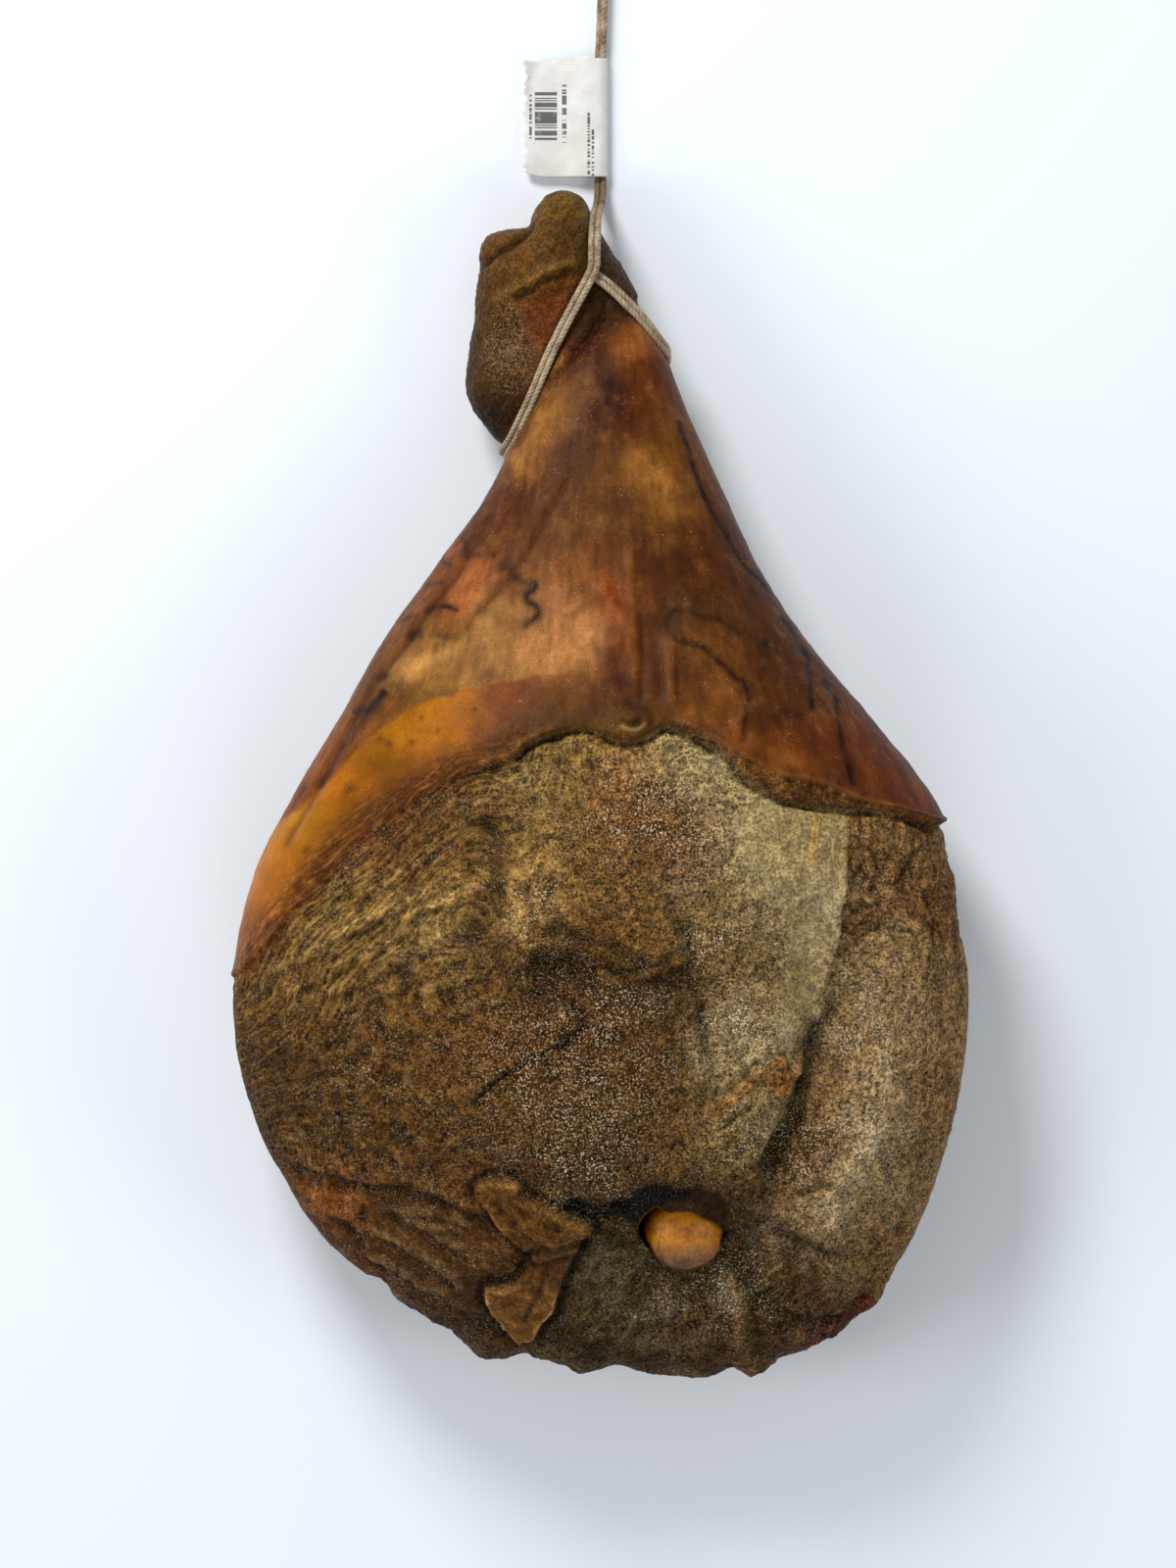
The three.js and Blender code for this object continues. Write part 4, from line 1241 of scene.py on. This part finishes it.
# Painted shade in the gap under the trimmed lip, a near-black line.
lip_gap_shade = np.exp(-((above + 1.1) ** 2)) * strength * facing
lip_gap_shade *= (seen[:, 1] < 60) * ramp(seen[:, 0], -72, -50)
band(0.85 * lip_gap_shade * np.clip(0.8 + 0.5 * noise(rest, 14, 3), 0, 1), (26, 17, 9))
# Painted shadow under the step at the lower left.
shade(step, step.beside(-2.4, 2.6), 0.55)
for x, y, size in (
    (-138, -2, 3.2), (-116, -3, 3.4), (-102, 20, 1.8), (-98, 18, 2.0), (-75, 24, 1.4), (-52, 50, 4.0),
    (-87, 19, 1.6), (-128, -33, 2.4), (-136, -31, 2.0), (-58, 34, 1.4), (-83, 30, 1.3),
):
    d = np.hypot(near[:, 0] - x, near[:, 1] - y)
    band(0.6 * np.exp(-((d / size) ** 2)) * facing, (72, 34, 18))

streaky = fbm(rest * np.array([1.0, 0.28, 1.0]) + wobble[:, :1] * 2, 5.5, 3, 181)
fan = np.arctan2(seen[:, 0] + 4, 330 - seen[:, 1])
fanned = fbm(np.stack([fan * 260, seen[:, 1] * 0.10, rest[:, 2] * 0.4], 1), 3.2, 3, 231)
patches = fbm(rest * np.array([1.0, 0.6, 1.0]), 13, 4, 191, 0.6)
on_rind = (1 - meat) * (1 - rear) * (1 - on_hock) * (1 - 0.9 * fat_edge)
band(on_rind * 0.45 * ramp(patches, 0.05, 1.0), (100, 62, 44))
band(on_rind * 0.30 * ramp(-patches, 0.05, 1.3), (170, 124, 74))
band(rear, rear_tone)
tint *= (1 + (0.24 * streaky + 0.22 * fanned) * on_rind)[:, None]
# Painted shade where the folds sink and painted highlight where they stand up.
tint *= (1 + 0.055 * np.clip(shape, -5, 3) * meat)[:, None]
# Darker in the grain's hollows and lighter on its bumps: painted shade and painted highlight, with some dirt
# in the hollows.
tint *= (1 + (0.32 * coarse + 0.30 * fine) * rough)[:, None]
tint *= (1 + 0.10 * mottle * (1 - meat) + 0.05 * flecks + 0.10 * swirl * meat)[:, None]
tint[:] = np.clip(tint, 0.002, 0.95)

BLOOM = [  # where white mould has taken: x, y, reach, strength
    (108, -200, 9, 0.8), (114, -180, 9, 0.7), (124, -165, 9, 0.5), (60, -122, 12, 0.6),
    (88, -116, 12, 0.7), (62, -100, 12, 0.45),
    (75, -150, 12, 0.5), (128, -110, 22, 0.35), (126, -150, 16, 0.45), (98, -60, 18, 0.35),
    (75, -56, 14, 0.45),
    (40, -50, 14, 0.35), (0, -226, 16, 0.3), (58, -236, 10, 0.45), (30, -250, 20, 0.25),
    (106, -220, 12, 0.5),
    (140, -190, 16, 0.3), (88, -135, 9, 0.5), (-40, 200, 12, 0.25), (80, -208, 10, 0.4),
    (50, 4, 16, 0.2),
]


def spots(places, base=0.0):
    """The strongest of soft round spots, each given by x, y, reach and strength, over a base."""
    total = np.full(count, base)
    for x, y, reach, amount in places:
        away = (seen[:, 0] - x) ** 2 + (seen[:, 1] - y) ** 2
        total = np.maximum(total, amount * np.exp(-away / reach**2))
    return total


bloom = spots(BLOOM) * facing * (1 - rear)

grain = meat * (1 - 0.40 * smooth_fascia)
grain = np.maximum(grain, on_hock * 0.55)
grain = np.maximum(grain, hock_pitted * 0.9)
leathery = Area(LOWER_LEFT, 10)
grain[leathery.who] *= 1 - 0.5 * leathery.fill(5)
grain[lobe.who] *= 1 - 0.55 * ramp(lobe.inner, -1, 1)
grain[tongue.who] *= 1 - 0.35 * ramp(tongue.inner, -1, 1)
grain = np.maximum(grain, strip_zone * 0.8)
grain = np.maximum(grain, 0.6 * brown_seam)
grain *= 1 - 0.85 * rear
grain[pit.who] *= 1 - 0.85 * pit.fill(3)
wet = (1 - meat) * (1 - rear) * 0.6 + fat_edge * 0.4
pepper = meat * spots((  # red-brown open grain
    (22, -8, 15, 0.8), (38, -20, 13, 1.0), (46, -34, 8, 0.9), (72, -62, 11, 0.7), (56, -92, 13, 0.7),
    (-30, -130, 40, 0.45), (10, -150, 30, 0.6), (95, -165, 18, 0.7), (80, -110, 12, 0.6),
    (135, -110, 26, 0.4),
    (120, -185, 20, 0.5), (60, -235, 18, 0.4), (-12, -30, 22, 0.4), (62, -165, 14, 0.5),
    (80, -80, 10, 0.8),
))
sparkle = meat * spots((  # pale specks painted among the grain as glints
    (-12, -135, 42, 0.75), (22, -14, 28, 0.9), (42, -32, 18, 1.0), (62, -112, 20, 1.0),
    (90, -170, 16, 0.9),
    (125, -110, 30, 0.8), (125, -165, 30, 0.9), (60, -235, 24, 0.7), (-30, -60, 24, 0.55),
    (28, -235, 20, 0.6),
    (-100, -130, 40, 0.3), (-10, -172, 30, 0.8), (10, -100, 24, 0.7), (66, -160, 16, 0.8),
    (50, -70, 18, 0.8),
), 0.16)
for part in (lobe, tongue, pit):
    sparkle[part.who] *= 1 - 0.85 * ramp(part.inner, -1, 1)

# Which way the muscle fibres run: x, y, reach, the direction in degrees and how strongly it shows.
FIBRES = [
    (-110, -75, 40, 32, 0.8), (-140, -130, 40, 24, 0.6), (-70, -40, 26, 38, 0.6),
    (-70, -120, 34, 22, 0.4),
    (-30, -40, 22, 84, 0.55), (10, -40, 30, 60, 0.2), (60, -90, 22, 80, 0.3), (95, -60, 30, 84, 0.3),
    (135, -100, 30, 84, 0.35), (130, -160, 32, 78, 0.3), (110, -200, 20, 60, 0.2),
    (-90, -205, 30, -28, 0.5),
    (-100, -170, 26, 8, 0.5), (0, -130, 34, 30, 0.2), (10, -165, 24, 20, 0.15), (60, -160, 16, 50, 0.3),
    (85, -232, 18, 45, 0.6), (-40, 215, 24, 60, 0.3), (0, 8, 24, 80, 0.5), (50, 4, 18, 150, 0.4),
]
across, combed, weight = np.zeros(count), np.zeros(count), np.full(count, 1e-12)
for x, y, reach, degrees, strong in FIBRES:
    d = seen - np.array([x, y]) + wobble * 0.9
    w = np.exp(-(d**2).sum(1) / reach**2)
    turn = math.radians(degrees)
    across += w * (d[:, 1] * math.cos(turn) - d[:, 0] * math.sin(turn) + 400)
    combed += w * strong
    weight += w
across, combed = across / weight, combed / weight
radial = np.zeros(count)
radial[butt.who] = ramp(butt.inner, -4, 6)
across = across * (1 - radial) + angle * 30 * radial
combed = combed * (1 - radial) + 0.45 * radial

# ---- the surface moves -----------------------------------------------------------------------------
calm = np.zeros(count)  # 1 where the string lies on it
for line in (string_line, noose_line):
    for k in range(0, len(line), 3):
        d = np.linalg.norm(rest - line[k] / MM, axis=1)
        calm = np.maximum(calm, ramp(d, 9, 4.5))
lift *= 1 - calm
lift = np.clip(lift, -9, 8.0) * ramp(rest[:, 2], 1.0, 7.0)
moved = rest + normal * lift[:, None]
over_ball = moved - BALL_MM
flat = np.hypot(over_ball[:, 0], over_ball[:, 1])
lapping = (rest[:, 2] > 99) & (over_ball[:, 1] > 9) & (flat < 19.5)
crown = BALL_MM[2] + np.sqrt(np.maximum(20.2**2 - flat**2, 0)) + 0.8
moved[:, 2] = np.where(lapping, np.maximum(moved[:, 2], crown), moved[:, 2])
moved[:, 2] -= 0.6 * np.maximum(moved[:, 2] - 139, 0)  # the highest grain stays within the leg's thickness
moved[:, 2] = np.maximum(moved[:, 2], 0.0)
moved[:, 2] = np.where(rest[:, 2] < 1.2, 0.0, moved[:, 2])
skin.vertices.foreach_set("co", (moved * MM).astype(np.float32).ravel())
skin.update()
for name, values in (
    ("tint", tint), ("grain", grain), ("bloom", bloom), ("wet", wet), ("pepper", pepper),
    ("across", across * MM), ("combed", combed), ("sparkle", sparkle), ("pitted", hock_pitted),
):
    set_attribute(skin, name, values)
skin.polygons.foreach_set("use_smooth", [True] * len(skin.polygons))


def ham_material():
    """Dry-cured pork: leathery rind, waxy fat and crumbly dark meat, from colours kept on the surface."""
    m = Nodes("dry_cured_pork")
    base, grained, mould = m.read("tint", True), m.read("grain"), m.read("bloom")
    wet, pepper, pitted = m.read("wet"), m.read("pepper"), m.read("pitted")
    x, y, _ = m.split(m.place)
    fibre_at = m.combine(m.times(m.read("across"), 760.0), m.times(x, 70.0), m.times(y, 70.0))
    strands = m.noise(1.0, 3.0, 0.6, fibre_at)
    crumbs = m.noise(760.0, 3.0, 0.65)
    clumps = m.noise(260.0, 3.0, 0.6)
    pores = m.cells(620.0)
    glints = m.noise(1050.0, 1.5, 0.5)
    pore_skin = m.noise(1100.0, 3.0, 0.6)
    cloud = m.noise(75.0, 4.0, 0.6)

    share = m.times(m.read("combed"), 0.8)
    strand_part = m.times(m.minus(strands, crumbs), share)
    rough_part = m.plus(crumbs, strand_part)
    dark_light = m.span(rough_part, 0.36, 0.64, 0.20, 1.95)
    dark_light = m.times(dark_light, m.span(clumps, 0.34, 0.66, 0.56, 1.45))
    amount = m.plus(m.times(m.minus(dark_light, 1.0), grained), 1.0)
    out = m.scale_colour(base, amount)
    # Painted glints: pale specks on the grain.
    spark = m.times(m.span(glints, 0.55, 0.65), m.span(cloud, 0.42, 0.60, 0.25, 1.0))
    out = m.mix(m.times(spark, m.read("sparkle")), out, colour(248, 232, 196))
    hair = m.times(m.span(strands, 0.58, 0.70), m.times(m.read("combed"), grained))
    out = m.mix(m.times(hair, 0.28), out, colour(186, 158, 110))
    hole = m.times(m.span(pores, 0.34, 0.16), m.math("MAXIMUM", pepper, pitted))
    out = m.mix(m.times(hole, 0.8), out, colour(66, 34, 18))
    chip = m.times(m.span(glints, 0.54, 0.64), m.math("MAXIMUM", pepper, pitted))
    out = m.mix(m.times(chip, m.span(pitted, 0.0, 1.0, 0.7, 0.22)), out, colour(206, 176, 126))
    fleck = m.times(m.span(glints, 0.64, 0.74, 0.0, 0.4), m.span(cloud, 0.50, 0.62))
    out = m.mix(m.times(fleck, m.minus(1.0, grained, clamp=True)), out, colour(196, 160, 116))
    mould_at = m.times(mould, m.span(m.plus(m.times(cloud, 0.5), m.times(crumbs, 0.5)), 0.42, 0.60))
    out = m.mix(m.times(mould_at, 0.6), out, colour(182, 164, 134))
    skin_part = m.minus(1.0, grained, clamp=True)
    skin_shade = m.times(m.span(pore_skin, 0.3, 0.7, 0.82, 1.18), m.span(cloud, 0.3, 0.7, 0.82, 1.18))
    out = m.scale_colour(out, m.plus(m.times(m.minus(skin_shade, 1.0), skin_part), 1.0))

    height = m.times(rough_part, grained)
    height = m.plus(height, m.times(m.times(clumps, 0.6), grained))
    height = m.plus(height, m.times(m.times(pore_skin, 0.10), skin_part))
    height = m.minus(height, m.times(hole, 0.5))
    roughness = m.minus(m.span(crumbs, 0.3, 0.7, 0.66, 0.5), m.times(wet, 0.18))
    roughness = m.plus(roughness, m.times(mould_at, 0.3))
    m.set(Base_Color=out, Roughness=roughness, Normal=m.bump(height, 0.0016, 1.0))
    m.set(Specular_IOR_Level=0.07)
    m.set(Subsurface_Weight=0.03)
    m.set(Subsurface_Radius=(1.0, 0.45, 0.2))
    m.set(Subsurface_Scale=0.003)
    return m.material


ham = bpy.data.objects.new("ham_meat_and_rind", skin)
SCENE.collection.objects.link(ham)
skin.materials.clear()
skin.materials.append(ham_material())


# ---- the ball of the femur ---------------------------------------------------------------------
def bone_material():
    """A smooth amber ball, browner at its rim and pinkish where it faces the butt."""
    m = Nodes("femur_ball")
    x, y, z = m.split(m.place)
    worn, specks = m.noise(130.0, 4.0, 0.6), m.noise(520.0, 3.0, 0.6)
    base = m.mix(m.span(worn, 0.35, 0.65), colour(206, 134, 16), colour(156, 84, 10))
    pink = m.span(m.minus(m.times(y, -1.0), m.times(worn, 0.014)), 0.200, 0.211)
    pinkish = m.mix(m.span(specks, 0.4, 0.6), colour(96, 58, 32), colour(134, 96, 62))
    base = m.mix(m.times(pink, 0.85), base, pinkish)
    # Painted shade at the rim, where the ball goes down into its socket.
    base = m.mix(m.read("rim"), base, colour(44, 22, 8))
    base = m.mix(m.span(specks, 0.60, 0.72, 0.0, 0.5), base, colour(104, 54, 18))
    crack_at = m.combine(m.times(x, 260.0), m.times(y, 70.0), m.times(z, 60.0))
    cracks = m.math("ABSOLUTE", m.minus(m.noise(1.0, 2.0, 0.5, crack_at), 0.5))
    base = m.mix(m.span(cracks, 0.016, 0.0, 0.0, 0.45), base, colour(84, 44, 14))
    m.set(Base_Color=base, Roughness=m.span(worn, 0.3, 0.7, 0.4, 0.6), Normal=m.bump(worn, 0.0016, 0.6))
    m.set(Specular_IOR_Level=0.4)
    m.set(Subsurface_Weight=0.05)
    m.set(Subsurface_Radius=(1.0, 0.5, 0.2))
    m.set(Subsurface_Scale=0.004)
    return m.material


def femur_head():
    """The ball and its neck, evened out and a little worn, with the torn ligament's stub on it."""
    source = bpy.data.objects.new("ball_source", NODES["femur_head"].data.copy())
    SCENE.collection.objects.link(source)
    remesh = source.modifiers.new("remesh", "REMESH")
    remesh.mode, remesh.voxel_size = "VOXEL", 0.8 * MM
    smooth = source.modifiers.new("smooth", "SMOOTH")
    smooth.factor, smooth.iterations = 0.5, 6
    mesh = bpy.data.meshes.new_from_object(source.evaluated_get(bpy.context.evaluated_depsgraph_get()))
    bpy.data.objects.remove(source)
    n = len(mesh.vertices)
    co, no = np.zeros(n * 3, np.float32), np.zeros(n * 3, np.float32)
    mesh.vertices.foreach_get("co", co)
    mesh.vertex_normals.foreach_get("vector", no)
    co, no = co.reshape(-1, 3).astype(float), no.reshape(-1, 3).astype(float)
    p = co / MM
    stub = ramp(np.linalg.norm(p - np.array([37.5, -217.0, 107.0]), axis=1), 5.5, 2.0)
    out = 0.4 + 0.25 * fbm(p, 9, 2, 201) + stub * (1.4 + 0.9 * fbm(p, 2.4, 2, 203))
    co += no * (out * MM)[:, None]
    mesh.vertices.foreach_set("co", co.astype(np.float32).ravel())
    from_top = np.hypot(p[:, 0] - 39, (p[:, 1] + 205) * 1.12)
    # The rim: painted shade towards the edge that sinks into the socket, and the stub's own darker colour.
    rim = 0.85 * ramp(from_top + 1.0 * fbm(p, 5, 2, 205), 16.5, 19.5) + 0.6 * stub
    set_attribute(mesh, "rim", np.clip(rim, 0, 1))
    mesh.polygons.foreach_set("use_smooth", [True] * len(mesh.polygons))
    mesh.materials.clear()
    mesh.materials.append(bone_material())
    obj = bpy.data.objects.new("femur_ball", mesh)
    SCENE.collection.objects.link(obj)
    return obj


ball = femur_head()

# ---- the weigh label ---------------------------------------------------------------------------
LABEL_LO, LABEL_HI = (np.array(v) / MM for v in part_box("weigh_label"))
PAPER = 0.35
SIDE_POINTS, FOLD_POINTS = 38, 9  # across each half, and round its fold
FOLD_MIDDLE = SIDE_POINTS + FOLD_POINTS // 2


def label_material():
    """White thermal paper, a little grubby, printed with plain bars and dashes that say nothing."""
    m = Nodes("label_paper")
    x, y, _ = m.split(m.place)
    crumple = m.noise(90.0, 3.0, 0.55)
    dirt = m.noise(260.0, 4.0, 0.65)
    base = m.mix(m.span(crumple, 0.3, 0.7), colour(212, 209, 202), colour(226, 224, 218))
    base = m.mix(m.span(dirt, 0.62, 0.8, 0.0, 0.35), base, colour(150, 146, 138))

    def within(value, low, high):
        return m.times(m.math("GREATER_THAN", value, low * MM), m.math("LESS_THAN", value, high * MM))

    top = m.read("printed")
    bars = m.math("GREATER_THAN", m.noise(1.0, 0.0, 0.5, m.combine(m.times(y, 900.0), 4.0, 0.0)), 0.49)
    block = m.times(within(x, -31.0, -20.5), within(y, 303.0, 326.0))
    ink = m.times(bars, block)
    for low, high, y0, y1, size in ((-18.2, -16.0, 302, 330, 700.0), (-33.6, -32.4, 304, 325, 1100.0),
                                    (-6.2, -4.9, 286, 316, 1000.0), (-4.2, -3.0, 286, 308, 1100.0)):
        dashes = m.math("GREATER_THAN", m.noise(1.0, 0.0, 0.5, m.combine(m.times(y, size), low, 9.0)), 0.47)
        row = m.times(within(x, low, high), within(y, y0, y1))
        ink = m.math("MAXIMUM", ink, m.times(dashes, row))
    ink = m.times(m.times(ink, top), m.span(dirt, 0.25, 0.45, 0.6, 1.0))
    base = m.mix(m.times(ink, 0.85), base, colour(34, 34, 36))
    m.set(Base_Color=base, Roughness=0.55, Normal=m.bump(crumple, 0.0012, 0.5))
    m.set(Specular_IOR_Level=0.3)
    return m.material


def weigh_label():
    """One strip of paper folded round the string, its halves stuck together, corners rubbed and curled."""
    x0, x1 = LABEL_LO[0] + 0.3, -0.2
    y0, y1 = LABEL_LO[1] + 0.3, LABEL_HI[1] - 0.3
    turn = (LABEL_HI[2] - LABEL_LO[2]) / 2 - PAPER / 2 - 0.1
    middle = (LABEL_HI[2] + LABEL_LO[2]) / 2
    length = x1 - x0
    half = [x0 + length * t for t in np.linspace(0, 1, SIDE_POINTS)]
    path = [(x, middle + turn * ramp(x, -24, -1.0) + 0.25) for x in half]
    bend = np.linspace(0.25, math.pi - 0.25, FOLD_POINTS)
    path += [(x1 + turn * math.sin(a), middle + turn * math.cos(a)) for a in bend]
    path += [(x, middle - turn * ramp(x, -24, -1.0) - 0.15) for x in reversed(half)]
    rows = 56
    verts, faces, printed = [], [], []
    for j in range(rows + 1):
        y = y0 + (y1 - y0) * j / rows
        v = (y - y0) / (y1 - y0)
        for k, (x, z) in enumerate(path):
            u = (x - x0) / length
            top_half = k < FOLD_MIDDLE
            ragged_in = 1.1 * math.sin(y * 0.9) * math.sin(y * 0.37 + 1) + 0.5 * math.sin(y * 2.7)
            px = x + (max(0.0, 0.12 - u) / 0.12) * (ragged_in + 1.2)
            py = y
            if v > 0.86 and u < 0.9:
                py -= (v - 0.86) / 0.14 * 1.2 * math.sin(u * 5 + 0.6)
            if v < 0.1:
                py += (0.1 - v) / 0.1 * (1.5 + 2.0 * max(0.0, 0.25 - u) / 0.25)
            wave = 0.9 * math.sin(v * 4.4 + 0.8) * (1 - u) + 0.5 * math.sin(u * 7 + v * 3)
            corner = max(0.0, 0.24 - u - (1 - v) * 0.55) / 0.24
            pz = z + wave * 0.55 * (1 - u) + 2.4 * corner**1.3
            if not top_half:
                pz = min(pz, z + wave * 0.55 * (1 - u) + 2.0 * corner**1.3)
            verts.append((px * MM, py * MM, max(pz, 0.6) * MM))
            printed.append(1.0 if k < FOLD_MIDDLE + 2 else 0.0)
    n = len(path)
    for j in range(rows):
        for k in range(n - 1):
            a = j * n + k
            faces.append((a, a + n, a + n + 1, a + 1))
    obj = new_object("weigh_label_paper", verts, faces, label_material())
    set_attribute(obj.data, "printed", printed)
    thick = obj.modifiers.new("paper", "SOLIDIFY")
    thick.thickness, thick.offset = PAPER * MM, 0.0
    return obj


label = weigh_label()

# ---- riding, replacing, the cord -----------------------------------------------------------------
for obj, node in ((ham, "ham"), (ball, "femur_head"), (noose, "noose"), (string, "hanging_string"),
                  (knot, "end_knot"), (eye, "hanging_eye"), (label, "weigh_label")):
    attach(obj, "root")
    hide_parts(node)

# ---- the stage: a pale floor in soft studio light ------------------------------------------------
def plain(name, rgb):
    m = Nodes(name)
    m.set(Base_Color=(*rgb, 1.0), Roughness=0.9)
    m.set(Specular_IOR_Level=0.1)
    return m.material


def soft_light(name, place, target, size, watts, tint_rgb=(1.0, 1.0, 1.0)):
    data = bpy.data.lights.new(name, "AREA")
    data.shape, data.size, data.energy, data.color = "DISK", size, watts, tint_rgb
    light = bpy.data.objects.new(name, data)
    light.location = place
    light.rotation_euler = (Vector(target) - Vector(place)).to_track_quat("-Z", "Y").to_euler()
    SCENE.collection.objects.link(light)


floor_mesh = bpy.data.meshes.new("floor")
floor_mesh.from_pydata([(-6, -6, 0), (6, -6, 0), (6, 6, 0), (-6, 6, 0)], [], [(0, 1, 2, 3)])
floor_mesh.materials.append(plain("pale_floor", (0.86, 0.92, 0.975)))
floor = bpy.data.objects.new("floor", floor_mesh)
SCENE.collection.objects.link(floor)

world = bpy.data.worlds.new("studio")
SCENE.world = world
world.use_nodes = True
world.node_tree.nodes["Background"].inputs["Color"].default_value = (0.94, 0.97, 1.0, 1.0)
world.node_tree.nodes["Background"].inputs["Strength"].default_value = 0.31
soft_light("key", (-0.7, 1.5, 1.35), (0, 0.0, 0.06), 0.7, 31)
soft_light("left_fill", (-1.9, -0.4, 1.5), (0, 0, 0.05), 1.2, 17)
soft_light("right_fill", (1.9, -0.6, 1.5), (0, 0, 0.05), 1.2, 12)
soft_light("foot_fill", (0.1, -2.0, 1.5), (0, 0, 0.05), 1.2, 8)
SCENE.view_settings.view_transform = "Standard"
SCENE.view_settings.look = "None"
